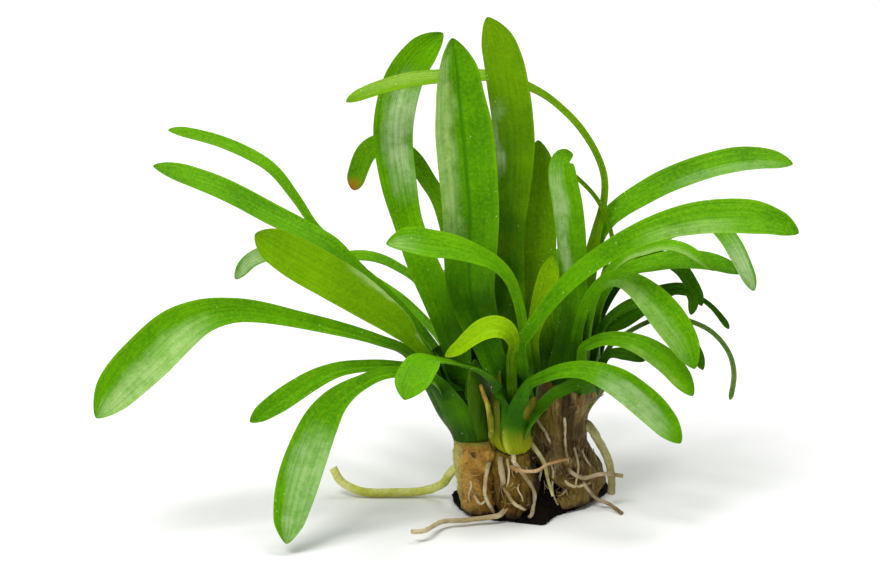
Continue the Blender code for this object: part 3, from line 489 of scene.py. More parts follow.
def grown_mesh(host, tree, values):
    """The plain mesh that this Geometry Nodes tree grows on the host, which is then deleted."""
    modifier = host.modifiers.new("grow", "NODES")
    modifier.node_group = tree
    sockets = {item.name: item.identifier for item in tree.interface.items_tree if item.in_out == "INPUT"}
    for key, value in values.items():
        modifier[sockets[key]] = value
    ready = host.evaluated_get(bpy.context.evaluated_depsgraph_get())
    mesh = bpy.data.meshes.new_from_object(ready)
    mesh.name = host.name
    source = host.data
    bpy.data.objects.remove(host)
    bpy.data.meshes.remove(source)
    return mesh


def close_geometry(tree, geometry, material):
    """Close a Geometry Nodes tree: smooth, real geometry with its material."""
    smooth = add_node("GeometryNodeSetShadeSmooth", {"Geometry": geometry})
    real = add_node("GeometryNodeRealizeInstances", {"Geometry": smooth})
    finished = add_node("GeometryNodeSetMaterial", {"Geometry": real, "Material": material})
    tree.interface.new_socket("Geometry", in_out="OUTPUT", socket_type="NodeSocketGeometry")
    set_inputs(tree.nodes.new("NodeGroupOutput").inputs, {0: finished})
    return tree


def named(tree, label):
    """The number that the host's points carry under this name."""
    return add_node("GeometryNodeInputNamedAttribute", {"Name": label}, tree, data_type="FLOAT")


def scaled(vector, size):
    """The vector times a number."""
    return add_node("ShaderNodeVectorMath", {0: vector, "Scale": size}, operation="SCALE")


def strand_tree():
    """Threads and roots: a round or flat section swept along each spine, with knobbly sides."""
    tree, entry = open_tree("strand", "GeometryNodeTree", {
        "Material": None, "Step": 0.0004, "Sides": 8, "Flatness": 1.0, "Wander": 0.0002, "Knobs": 0.25,
        "Seed": 0.0})
    path = add_node("GeometryNodeMeshToCurve", {"Mesh": entry["Geometry"]})
    even = add_node("GeometryNodeResampleCurve", {"Curve": path, "Length": entry["Step"]}, mode="LENGTH")
    spot = add_node("GeometryNodeInputPosition", tree=tree)
    wander, knobs = (add_node("ShaderNodeTexNoise", {
        "Vector": spot, "W": entry["Seed"], "Scale": scale, "Detail": 2.0}, noise_dimensions="4D")
        for scale in (260.0, 900.0))
    shift = scaled(vector_sum("SUBTRACT", wander["Color"], (0.5, 0.5, 0.5)), entry["Wander"])
    moved = add_node("GeometryNodeSetPosition", {"Geometry": even, "Offset": shift})
    radius = named(tree, "width") * 0.5 * ((knobs["Fac"] - 0.5) * entry["Knobs"] + 1.0)
    ring = add_node("GeometryNodeCurvePrimitiveCircle", {"Resolution": entry["Sides"], "Radius": 1.0})
    flat = vector_of(1.0, entry["Flatness"], 1.0)
    section = add_node("GeometryNodeTransform", {"Geometry": ring, "Scale": flat})
    swept = add_node("GeometryNodeCurveToMesh", {"Curve": moved, "Profile Curve": section, "Scale": radius,
                                                 "Fill Caps": True})
    return close_geometry(tree, swept, entry["Material"])


STRAND = strand_tree()


def stock_spot(angle, height, lift):
    """The point this far off the right rootstock's surface, at this turn and height, in mm."""
    x, y = rows_at(RIGHT_STOCK, height, [row[2] for row in RIGHT_STOCK])[:2]
    outward = Vector((math.cos(angle), math.sin(angle), 0.0))
    spot = stock_faces.ray_cast(Vector((x, y, height)) * MM + outward * RAY_START, -outward)[0]
    return spot / MM + outward * lift


def stock_fibres():
    """Spines of the loose fibres, spread round the right rootstock."""
    chance = random.Random(FIBRE_SEED)
    spines = []
    for _ in range(FIBRE_COUNT):
        angle = chance.uniform(0.0, 2.0 * math.pi)
        low = chance.uniform(3.0, 14.0)
        high = min(low + chance.uniform(5.0, 13.0), FIBRE_TOP)
        drift = chance.uniform(-0.25, 0.25)
        peel = chance.uniform(0.0, 0.5)
        width = chance.uniform(0.25, 0.75)
        spine = []
        for share in np.arange(FIBRE_STEPS + 1) / FIBRE_STEPS:
            lift = -0.02 + peel * share ** 3
            spot = stock_spot(angle + drift * share, low + (high - low) * share, lift)
            spine.append((*spot, width * (1.0 - 0.6 * share)))
        spines.append(spine)
    return spines


pale_threads = fibre_finish("pale threads", (0.10, 0.055, 0.012), (0.33, 0.22, 0.07), (0.60, 0.49, 0.28))
fibre_mesh = grown_mesh(spine_host("right_rootstock_fibres", stock_fibres()), STRAND, {
    "Material": pale_threads, "Step": 0.0006, "Sides": 6, "Flatness": 0.5, "Wander": 0.0004, "Knobs": 0.4})
add_piece("right_rootstock_fibres", fibre_mesh)


# Soil
# The last of the wet black soil, held by the roots under the three stems. It is pressed flat below,
# where the tuft stands on it, and crumbly at its sides, with loose grains stuck to it.
SOIL_PLAN = [(1.0, -8.4), (3.8, -3.6), (7.4, 0.2), (11.6, 5.4), (14.8, 11.0), (12.8, 13.8), (5.0, 15.0),
             (-5.0, 13.0), (-12.5, 10.5), (-15.8, 6.4), (-15.0, 1.6), (-13.2, -2.2), (-8.6, -5.4),
             (-3.4, -6.8)]
SOIL_LEVELS = [(0.0, 1.0), (0.9, 1.03), (2.0, 0.98), (3.4, 0.86), (5.2, 0.64), (7.4, 0.42), (9.2, 0.22)]
PLAN_SAMPLES = 18
GRAIN_SIZE = 0.00032


def soil_body():
    """The clod on its flat underside, with crumbs in its sides."""
    turn = SOIL_PLAN[-2:] + SOIL_PLAN + SOIL_PLAN[:2]
    outline = smooth_rows(turn, PLAN_SAMPLES)[2 * PLAN_SAMPLES:-2 * PLAN_SAMPLES - 1]
    loops = []
    for height, spread in smooth_rows(SOIL_LEVELS, samples=6):
        loop = []
        for x, y in outline:
            dip = 0.4 * min(max(-y / 8.0, 0.0), 1.0)
            point = Vector((x * spread, y * spread, height * (1.0 - dip)))
            crumb = 0.6 * noise.noise(point * 0.9) + 0.35 * noise.noise(point * 2.2)
            rise = 0.35 * noise.noise(point * 1.4) if height > 0.4 else 0.0
            loop.append(point + Vector((x, y, 0.0)).normalized() * crumb + Vector((0.0, 0.0, rise)))
        loops.append(loop)
    return skin(loops)


def crumb_tree():
    """Loose grains scattered over the clod's upper and side faces, clear of its flat underside."""
    tree, entry = open_tree("soil crumbs", "GeometryNodeTree", {
        "Material": None, "Density": 3.0e6, "Grain Size": GRAIN_SIZE, "Lowest": 0.0007, "Seed": 4})
    height = parts_of(add_node("GeometryNodeInputPosition", tree=tree))["Z"]
    high = add_node("FunctionNodeCompare", {"A": height, "B": entry["Lowest"]},
                    data_type="FLOAT", operation="GREATER_THAN")
    spread = add_node("GeometryNodeDistributePointsOnFaces", {
        "Mesh": entry["Geometry"], "Density": entry["Density"], "Seed": entry["Seed"]})
    chosen = add_node("GeometryNodeSeparateGeometry", {"Geometry": spread["Points"], "Selection": high},
                      domain="POINT")
    grain = add_node("GeometryNodeMeshIcoSphere", {"Radius": 1.0, "Subdivisions": 1}, tree)
    turn, size = (add_node("FunctionNodeRandomValue", {0: low, 1: high, "Seed": entry["Seed"]},
                           data_type="FLOAT_VECTOR")
                  for low, high in ((ORIGIN, (6.28, 6.28, 6.28)), ((0.4, 0.4, 0.4), (1.4, 1.1, 1.2))))
    placed = add_node("GeometryNodeInstanceOnPoints", {
        "Points": chosen, "Instance": grain, "Rotation": turn, "Scale": scaled(size, entry["Grain Size"])})
    whole = add_node("GeometryNodeJoinGeometry", {0: entry["Geometry"]})
    set_inputs(whole.node.inputs, {0: placed})
    return close_geometry(tree, whole, entry["Material"])


def soil_finish():
    """Wet black soil: nearly black, browner in patches, glinting where it is wettest."""
    material, position = new_finish("wet black soil")
    mottle = mottle_at(position, 420.0, 3200.0)
    patches = mottle["Patches"]
    colour = layered((0.002, 0.0014, 0.001), (patches, (0.009, 0.005, 0.003)),
                     (mottle["Grain"].fade(0.6, 0.75, 0.0, 0.5), (0.035, 0.020, 0.012)))
    return end_finish(material, colour, patches.fade(0.0, 1.0, 0.5, 0.85), mottle["Grain"], depth=0.0006,
                      Specular_IOR_Level=0.1)


soil_host = put("soil", plain_mesh("soil", soil_body()))
add_piece("soil", grown_mesh(soil_host, crumb_tree(), {"Material": soil_finish()}), ["soil_clod"])


# Left crown
# The leaf bases of the left stem, broad and dark green, clasping one another in a flattened fan.
# Each sheath wraps half round the crown, with a thin free edge down its side.
LEFT_CROWN = [(-12.2, -0.2, 15.2, 3.5, 3.8), (-12.7, -0.2, 18.0, 4.0, 4.3), (-13.8, 0.0, 21.0, 4.9, 5.4),
              (-15.0, 0.5, 24.5, 6.3, 7.2)]
LEFT_SHEATHS = [(100, 100, -0.2, 8.0, 0.6), (342, 62, -0.1, 7.0, 1.0)]


def crown_level(crown, share):
    """The crown's level ring (x, y, z, half width, half depth) at this share of its height."""
    curve = smooth_rows(crown)
    return rows_at(curve, share * (len(curve) - 1))


def crown_body(crown, seed, sides=120, rows=60):
    """The heart of a crown: close-set leaf bases, ribbed along their length and drawn in at the top."""
    loops = []
    for share in np.arange(rows) / (rows - 1):
        x, y, z, half_width, half_depth = crown_level(crown, share)
        drawn_in = 0.94 - 0.3 * max(share - 0.5, 0.0) - 0.55 * max((share - 0.8) / 0.2, 0.0) ** 2
        loop = []
        for side in range(sides):
            angle = 2 * math.pi * side / sides
            around = Vector((math.cos(angle), math.sin(angle), 0.0))
            rib = 0.14 * noise.noise(Vector((4.0 * around.x, 4.0 * around.y, 0.05 * z + seed)))
            loop.append((x + (half_width * drawn_in + rib) * around.x,
                         y + (half_depth * drawn_in + rib) * around.y, z))
        loops.append(loop)
    return skin(loops)


def add_sheath(shape, crown, middle, spread, lift, tongue, age=0.3, rows=64, steps=32, thick=0.4):
    """A clasping sheath added to a crown: a thin shell round it that ends in a tongue above it.

    It is centred on one angle, reaches this many degrees to each side, lifts off the crown by this
    many mm, and rises this many mm above its top. Age, from 0 to 1, takes its finish to old.
    """
    low = crown_level(crown, 0.9)
    high = crown_level(crown, 1.0)
    rise = high[2] - crown_level(crown, 0.0)[2]
    lean = 8.0 * (high[:2] - low[:2])
    longest = 1.0 + tongue / rise
    rings = []
    for row in range(rows):
        share = longest * math.sin(0.5 * math.pi * row / (rows - 1))
        x, y, z, half_width, half_depth = crown_level(crown, min(share, 1.0))
        above = max(share - 1.0, 0.0)
        x, y, z = x + above * lean[0], y + above * lean[1], z + above * rise
        closing = max((share - 0.55) / (longest - 0.55), 0.0)
        narrow = spread * math.sqrt(max(1.0 - closing ** 2.2, 0.0)) + 0.4
        shrink = 1.0 - 0.25 * above
        foot = math.sin(0.5 * math.pi * min(share / 0.2, 1.0)) - 0.08
        outer = []
        inner = []
        for step in range(steps + 1):
            part = 2.0 * step / steps - 1.0
            angle = math.radians(middle + narrow * part)
            turn = Vector((math.cos(angle), math.sin(angle), 0.0))
            edge = math.sqrt(max(1.0 - abs(part) ** 5, 0.0))
            rib = 0.03 * noise.noise(Vector((12.0 * turn.x, 12.0 * turn.y, 0.06 * z + middle)))
            swell = foot * (lift + rib + 0.12 * math.sin(math.pi * min(share, 1.0)))
            for side, out in ((outer, swell + foot * thick * edge), (inner, swell - 0.25 + 0.15 * closing)):
                side.append((x + (half_width * shrink + out) * turn.x,
                             y + (half_depth * shrink + out) * turn.y, z))
        rings.append(outer + inner[::-1])
    sheath = skin(rings)
    mark = sheath.verts.layers.float.new("age")
    for vertex in sheath.verts:
        vertex[mark] = age
    mesh = plain_mesh("sheath", sheath)
    shape.from_mesh(mesh)
    bpy.data.meshes.remove(mesh)


def carried(material, label, output="Fac"):
    """What a mesh's points carry under this name, read in its material."""
    return add_node("ShaderNodeAttribute", tree=material.node_tree, attribute_name=label)[output]


def sheath_finish(name, deep, bright, foot, foot_height, top_height, old):
    """Leaf bases: smooth green with faint upright lines, paler at the foot, satin wet, yellower with age,
    painted shade on top.
    """
    material, position = new_finish(name)
    age = carried(material, "age")
    height = parts_of(position)["Z"]
    fibres = fibres_at(position, 620.0, 0.05)
    mottle = mottle_at(position, 260.0, 2400.0)
    lines = mottle["Patches"] * 0.35 + fibres["Broad"] * 0.4
    low = (mottle["Patches"] * 0.0012 + height).fade(foot_height, top_height, 1.0, 0.0)
    # Painted shade: the top of the heart and of the young sheaths goes near-black.
    painted_top_shade = height.fade(0.0205, 0.0235, 0.0, 0.9) * age.fade(0.0, 0.04, 1.0, 0.0)
    # Painted glints: the bright specks, more of them on older sheaths.
    colour = layered(
        deep, (lines, bright), (age * (fibres["Broad"] * 0.35 + 0.55), old), (low, foot),
        (painted_top_shade, (0.004, 0.020, 0.0004)), (mottle["Glint Specks"] * (age * 0.5 + 0.25), (0.50, 0.56, 0.22)))
    return end_finish(material, colour, mottle["Grain"].fade(0.3, 0.7, 0.40, 0.58),
                      mottle["Grain"] * 0.5 + fibres["Fine"], depth=0.00010,
                      Specular_IOR_Level=0.03, Specular_Tint=(0.8, 1.0, 0.45))


def sheathed(crown, sheaths, heart_seed=None):
    """A crown's shape: these sheaths, round a heart where it has one."""
    shape = crown_body(crown, heart_seed) if heart_seed else bmesh.new()
    for sheath in sheaths:
        add_sheath(shape, crown, *sheath)
    return shape


dark_sheath = sheath_finish("dark green sheath", (0.008, 0.060, 0.0005), (0.026, 0.12, 0.001),
                            (0.06, 0.11, 0.003), foot_height=0.0152, top_height=0.0172,
                            old=(0.060, 0.14, 0.006))
add_piece("left_crown_sheaths", sheathed(LEFT_CROWN, LEFT_SHEATHS, heart_seed=2.0), ["crown_left"],
          dark_sheath)


# Middle crown
# The smallest crown stands in front: a rounded, yellow-green bulb of leaf bases, greener above, with
# the dried yellow edge of an older sheath at its side.
MIDDLE_CROWN = [(-4.0, -4.6, 14.1, 1.7, 1.6), (-4.3, -4.6, 15.2, 2.8, 2.7), (-4.7, -4.6, 17.6, 3.4, 3.4),
                (-4.7, -4.6, 20.5, 3.3, 3.5), (-4.2, -4.6, 24.5, 4.1, 4.6)]
MIDDLE_SHEATHS = [(90, 100, -0.1, 6.0, 0.6), (322, 36, 0.0, 1.6, 1.0), (178, 50, 0.5, 6.0, 0.7)]

bulb_sheath = sheath_finish("yellow green bulb", (0.012, 0.075, 0.0005), (0.045, 0.17, 0.001),
                            (0.26, 0.30, 0.004), foot_height=0.0150, top_height=0.0205,
                            old=(0.19, 0.15, 0.018))
add_piece("middle_crown_sheaths", sheathed(MIDDLE_CROWN, MIDDLE_SHEATHS, heart_seed=9.0),
          ["crown_middle"], bulb_sheath)


# Right crown
# Its leaf bases have dried to brown, papery strips, split and frayed, that stand round the top of the
# right rootstock and clasp the green stalks inside.
RIGHT_SHEATHS = [(90, 80, 0.0, 4.0), (150, 50, 0.1, 4.5), (30, 55, 0.1, 5.0), (205, 40, 0.15, 3.0),
                 (238, 26, 0.3, 2.4), (268, 24, 0.2, 1.4), (296, 20, 0.35, 2.2), (322, 22, 0.25, 3.4),
                 (350, 26, 0.35, 4.4)]

add_piece("right_crown_sheaths", sheathed(RIGHT_STOCK[-3:], RIGHT_SHEATHS), (), stock_browns)


# Leaves of the left crown
# Strap-shaped leaves of thick, wet, glossy green tissue with fine parallel veins. Each grows from its
# sheath on a channelled stalk that opens out into a blade with a blunt, rounded tip.
VIEW_TILT = math.radians(15.0)
VIEW_DISTANCE = 550.0
AXIS_ACROSS = -19.0
AXIS_UP = 43.4
EYE = Vector((0.0, -math.cos(VIEW_TILT), math.sin(VIEW_TILT)))
SKY = Vector((0.0, 0.0, 1.0))

STALK_THICKNESS = 1.5
BLADE_THICKNESS = 0.6
BASE_THICKNESS = 0.8
STALK_FOLD = 0.45
STALK_LENGTH = 0.45
BLADE_WAVE = 0.5
CLASP_LENGTH = 8.0
COLLAR_SHADE_DEPTH = 1.35
HEEL_LENGTH = 4.5
HEEL_DEPTH = 1.4
TIP_BLUNTNESS = 0.62
PAINTED_SHEEN_FADE = 0.14
SAME_POINT = 2.0e-6
LEAF_ROWS = 84
TIP_ROWS = 14
SPINE_STEPS = 24
LEAF_SIDES = 32
PAINTED_SHEEN_INPUTS = ("Painted Sheen Across", "Painted Sheen Width", "Painted Sheen Start", "Painted Sheen End", "Painted Sheen Strength")


def place(across, up, behind):
    """The point, in mm, that is seen this far across and up, and stands this far behind."""
    slope = math.cos(VIEW_TILT) + math.sin(VIEW_TILT) * (up - AXIS_UP) / VIEW_DISTANCE
    depth = (behind - up * math.sin(VIEW_TILT)) / slope
    reach = 1.0 + depth / VIEW_DISTANCE
    across = AXIS_ACROSS + (across - AXIS_ACROSS) * reach
    up = AXIS_UP + (up - AXIS_UP) * reach
    return Vector((across, behind, up * math.cos(VIEW_TILT) - depth * math.sin(VIEW_TILT)))


def between(share, low, high):
    """The number at this share of the way from low to high."""
    return add_node("ShaderNodeMix", {0: share, 2: low, 3: high})


def square_to(along, vector):
    """The direction nearest to the vector that is square to the leaf's run."""
    off_axis = scaled(along, vector_sum("DOT_PRODUCT", along, vector))
    return vector_sum("NORMALIZE", vector_sum("SUBTRACT", vector, off_axis))


def kept(geometry, *fields):
    """The geometry with these fields kept on its points, then each field as it reads from there."""
    capture = add_node("GeometryNodeCaptureAttribute", {0: geometry})
    for index, field in enumerate(fields, 1):
        capture.node.capture_items.new("VECTOR" if field.socket.type == "VECTOR" else "FLOAT", str(index))
        set_inputs(capture.node.inputs, {index: field})
    return [capture[index] for index in range(len(fields) + 1)]


def stored(geometry, fields):
    """The geometry with these fields stored under the names that materials read."""
    for label, field in fields.items():
        kind = "FLOAT_VECTOR" if field.socket.type == "VECTOR" else "FLOAT"
        geometry = add_node("GeometryNodeStoreNamedAttribute", {
            "Geometry": geometry, "Name": label, "Value": field}, data_type=kind, domain="POINT")
    return geometry


def leaf_tree():
    """A leaf along its spine: a channelled section that thins and opens from stalk to blade.

    The host's points carry the width, the share of the leaf's length and the distance to its tip.
    """
    tree, entry = open_tree("leaf", "GeometryNodeTree", {
        "Material": None, "Face": ORIGIN, "Base Face": ORIGIN, "Collar Shade Colour": ORIGIN, "Heel Colour": ORIGIN,
        "Sides": LEAF_SIDES, "Base Fold": 0.8, "Base Thickness": BASE_THICKNESS * MM, "Stalk Roll": 0.0,
        "Blade Roll": 0.0, "Stalk Thickness": STALK_THICKNESS * MM, "Blade Thickness": BLADE_THICKNESS * MM,
        "Stalk Fold": STALK_FOLD, "Blade Fold": 0.15, "Stalk Length": STALK_LENGTH, "Tip Length": 0.004,
        "Crease": 0.0, "Wave": BLADE_WAVE * MM, "Seed": 0.0, "Tone": 0.5, "Painted Sheen Across": 0.0,
        "Painted Sheen Width": 0.5, "Painted Sheen Start": 0.4, "Painted Sheen End": 0.9, "Painted Sheen Strength": 0.0, "Sheen Whiteness": 0.0,
        "Rib": 0.0})
    width, share, length, to_tip, clasp, collar_shade, heel = (named(tree, label) for label in (
        "width", "share", "length", "to_tip", "clasp", "collar_shade", "heel"))
    middle = add_node("GeometryNodeInputPosition", tree=tree)
    along = add_node("GeometryNodeInputTangent", tree=tree)
    opening = share.fade(0.0, entry["Stalk Length"])
    rolled = add_node("ShaderNodeVectorRotate", {
        "Vector": square_to(along, entry["Face"]), "Axis": along,
        "Angle": between(opening, entry["Stalk Roll"], entry["Blade Roll"])}, rotation_type="AXIS_ANGLE")
    turned = add_node("ShaderNodeMix", {0: clasp, 4: rolled, 5: entry["Base Face"]}, data_type="VECTOR")[1]
    out = square_to(along, turned)
    side = vector_sum("CROSS_PRODUCT", along, out)
    hollow = 1.0 - sum_of("DIVIDE", to_tip, entry["Tip Length"], clamp=True)
    rounding = sum_of("POWER", hollow * (hollow * -1.0) + 1.0, TIP_BLUNTNESS)
    half = width * 0.5 * rounding
    thick = between(clasp, between(opening, entry["Stalk Thickness"], entry["Blade Thickness"]),
                    entry["Base Thickness"])
    thick = sum_of("MINIMUM", thick, width * 0.7) * rounding
    channel = between(clasp, between(opening, entry["Stalk Fold"], entry["Blade Fold"]), entry["Base Fold"])
    path = add_node("GeometryNodeMeshToCurve", {"Mesh": entry["Geometry"]})
    path, middle, side, out, half, thick, channel, clasp, share, length, collar_shade, heel = kept(
        path, middle, side, out, half, thick, channel, clasp, share, length, collar_shade, heel)

    ring = add_node("GeometryNodeCurvePrimitiveCircle", {"Resolution": entry["Sides"], "Radius": 0.001})
    ring, round_share = kept(ring, add_node("GeometryNodeSplineParameter", tree=tree)["Factor"])
    swept = add_node("GeometryNodeCurveToMesh", {"Curve": path, "Profile Curve": ring, "Fill Caps": True})
    angle = round_share * (2.0 * math.pi)
    across = sum_of("COSINE", angle)
    depth = sum_of("SINE", angle)
    bend = between(entry["Crease"], across * across, abs(across))
    groove = abs(across).fade(0.0, 0.3, -0.3, 0.0) * sum_of("MAXIMUM", depth, 0.0)
    groove = groove * clasp.fade(0.0, 0.4, 1.0, 0.0)
    body = sum_of("MINIMUM", depth, 0.0) + (groove + 0.5)
    ripple = noise_at(vector_of(length * 60.0, across * 0.6, entry["Seed"]), 1.0, 2.0, 0.5)
    wave = (ripple - 0.5) * (entry["Wave"] * (share * half.fade(0.0, 0.0012)))
    height = thick * body + channel * half * bend + wave
    spot = vector_sum("ADD", middle, scaled(side, across * half))
    spot = vector_sum("ADD", spot, scaled(out, height))
    shaped = add_node("GeometryNodeSetPosition", {"Geometry": swept, "Position": spot})

    # Painted sheen: a pale band along the leaf, where the lights' reflection would lie.
    start = share.fade(entry["Painted Sheen Start"], entry["Painted Sheen Start"] + PAINTED_SHEEN_FADE)
    stop = share.fade(entry["Painted Sheen End"] - PAINTED_SHEEN_FADE, entry["Painted Sheen End"], 1.0, 0.0)
    blotches = noise_at(vector_of(length * 120.0, across * 1.4, entry["Seed"]), 1.0, 4.0, 0.5)
    beside = (blotches - 0.5) * 1.9 + abs(across - entry["Painted Sheen Across"])
    band = beside.fade(entry["Painted Sheen Width"] * 0.35, entry["Painted Sheen Width"], 1.0, 0.0)
    shaped = stored(shaped, {
        "blade": vector_of(across, length, share), "tone": entry["Tone"], "sheen_whiteness": entry["Sheen Whiteness"],
        "painted_sheen": start * stop * band * entry["Painted Sheen Strength"] * depth.fade(-0.35, 0.1),
        "rib": entry["Rib"], "underside": depth.fade(-0.5, -0.1, 1.0, 0.0), "collar_shade": collar_shade, "heel": heel,
        "collar_shade_colour": entry["Collar Shade Colour"], "heel_colour": entry["Heel Colour"]})
    closed = add_node("GeometryNodeMergeByDistance", {"Geometry": shaped, "Distance": SAME_POINT})
    return close_geometry(tree, closed, entry["Material"])


LEAF = leaf_tree()


def parallel_veins():
    """A leaf's veins: fine lines along it, its midrib, and the faint ladder of cross veins."""
    tree, entry = open_tree("parallel veins", "ShaderNodeTree", {"Blade": ORIGIN})
    parts = parts_of(entry["Blade"])
    lines, rungs = (vector_of(parts["X"] * close, parts["Y"] * drawn, 0.0)
                    for close, drawn in ((7.0, 26.0), (5.0, 1900.0)))
    beside = abs(parts["X"])
    return close_group(tree, {
        "Lines": noise_at(lines, 1.0, 3.0, 0.6).fade(0.42, 0.66), "Midrib": beside.fade(0.02, 0.12, 1.0, 0.0),
        "Ladder": noise_at(rungs, 1.0, 2.0, 0.5).fade(0.5, 0.72), "Margin": beside.fade(0.82, 1.0)})


PARALLEL_VEINS = parallel_veins()
# Colours of the painted sheen: yellowish, and whitish as it is whitened.
YELLOWISH_SHEEN = (0.36, 0.56, 0.10)
WHITISH_SHEEN = (0.48, 0.66, 0.32)


def leaf_finish(name, deep, bright, ripe, gloss=0.3, tip=None):
    """Wet leaf skin: mottled green with darker veins, riper margins, a painted pale sheen and painted glints.
    """
    material, position = new_finish(name + " leaf")
    blade = carried(material, "blade", "Vector")
    tone, painted_sheen, under, collar_shade, heel, sheen_whiteness, rib = (carried(material, label) for label in (
        "tone", "painted_sheen", "underside", "collar_shade", "heel", "sheen_whiteness", "rib"))
    collar_shade_colour = carried(material, "collar_shade_colour", "Color")
    heel_colour = carried(material, "heel_colour", "Color")
    parts = parts_of(blade)
    veins = add_node("ShaderNodeGroup", {"Blade": blade}, node_tree=PARALLEL_VEINS)
    mottle = mottle_at(position, 130.0, 1500.0)
    dark_rib = veins["Midrib"] * (rib * 0.75 + 0.14)
    green = layered(
        deep, (mottle["Patches"] * 0.5 + tone * 0.5, bright),
        (mottle["Grain"].fade(0.35, 0.75, 0.0, 0.4), ripe), (veins["Margin"] * 0.35, ripe),
        (veins["Lines"] * 0.3, deep), (veins["Ladder"] * 0.12, deep), (dark_rib, deep),
        (under * 0.3, (0.12, 0.28, 0.02)))
    # The collar darkens the stalk above the crown: partly its own deeper green, partly painted shade.
    collar_shade_tone = tint(mottle["Patches"] * 0.35, collar_shade_colour, green)
    rim = parts["X"].fade(-0.9, -0.4, 0.7, 0.0) * heel
    rim_colour = tint(1.0, heel_colour, (2.3, 2.1, 14.0), "MULTIPLY")
    # Painted sheen: the pale band, broken into streaks along the veins.
    streaks = noise_at(position, 420.0, 4.0, 0.6).fade(0.3, 0.62, 0.45, 1.0)
    sheen = painted_sheen * streaks * (veins["Lines"] * -0.25 + 1.0) * (1.0 - dark_rib)
    # Painted glints: the bright specks over the leaf.
    colour = layered(green, (collar_shade, collar_shade_tone), (heel, heel_colour), (rim, rim_colour),
                     (sheen, tint(sheen_whiteness, YELLOWISH_SHEEN, WHITISH_SHEEN)), (mottle["Glint Specks"] * 0.6, (0.6, 0.78, 0.45)))
    if tip:
        ragged = mottle["Patches"] * 0.04 + parts["Z"]
        colour = tint(ragged.fade(0.975, 1.035, 0.0, 0.85), colour, tip)
    dull = sheen * 0.12 + mottle["Grain"].fade(0.25, 0.75, gloss, gloss + 0.14)
    relief = veins["Ladder"] * 0.4 + (veins["Lines"] * 0.5 + mottle["Grain"])
    return end_finish(material, colour, dull, relief, depth=0.00014, Specular_Tint=(0.85, 1.0, 0.25))


LEAF_FINISHES = {name: leaf_finish(name, *values) for name, *values in (
    ("fresh green", (0.044, 0.21, 0.0006), (0.135, 0.42, 0.001), (0.23, 0.50, 0.002)),
    # Deep green is the leaf green darkened: painted shade for leaves that lie behind others.
    ("deep green", (0.016, 0.075, 0.0006), (0.048, 0.18, 0.001), (0.07, 0.24, 0.003)),
    ("yellow green", (0.15, 0.37, 0.0006), (0.29, 0.53, 0.001), (0.46, 0.62, 0.002)),
    ("olive green", (0.085, 0.25, 0.0006), (0.18, 0.42, 0.001), (0.27, 0.46, 0.002), 0.4),
    ("grey green", (0.07, 0.17, 0.02), (0.17, 0.31, 0.05), (0.30, 0.42, 0.14), 0.4),
    ("orange tipped", (0.05, 0.20, 0.0006), (0.13, 0.36, 0.001), (0.22, 0.42, 0.003), 0.3,
     (0.44, 0.15, 0.012)))}

# Each crown's rings, its leaves' colours at collar and heel, and how far out the outer bases press.
# The collar colour is a deep green that is partly the stalk's own and partly painted shade.
CROWNS = {
    "left": (LEFT_CROWN, (0.012, 0.075, 0.001), (0.016, 0.07, 0.001), 0.13),
    "middle": (MIDDLE_CROWN, (0.014, 0.090, 0.001), (0.24, 0.28, 0.004), 0.13),
    "right": (RIGHT_STOCK[-2:], (0.016, 0.080, 0.001), (0.10, 0.065, 0.012), -0.12),
}


def base_knots(rings, slot, width, press):
    """The clasping base of a leaf, from the crown's foot up to its place in the crown's top.

    It also gives the base's fold, for it to lie round the crown.
    """
    high = crown_level(rings, 1.0)
    across = (slot[0] - high[0]) / high[3]
    behind = (slot[1] - high[1]) / high[4]
    outer = min(max((math.hypot(across, behind) - 0.5) / 0.25, 0.0), 1.0)
    pressed = 0.96 + press * outer
    knots = []
    for share, spread in ((0.06, 1.2), (0.3, 2.4), (0.65, 2.8)):
        x, y, z, half_width, half_depth = crown_level(rings, share)
        knots.append((x + pressed * across * half_width, y + pressed * behind * half_depth, z,
                      width + outer * spread))
    knots.append((slot[0], slot[1], high[2] + 0.3, 1.1 * width + outer * 1.2))
    half = 0.5 * knots[2][3]
    radius = max(0.5 * (high[3] + high[4]) * 0.85, 1.02 * half)
    return knots, (radius - math.sqrt(radius ** 2 - half ** 2)) / half


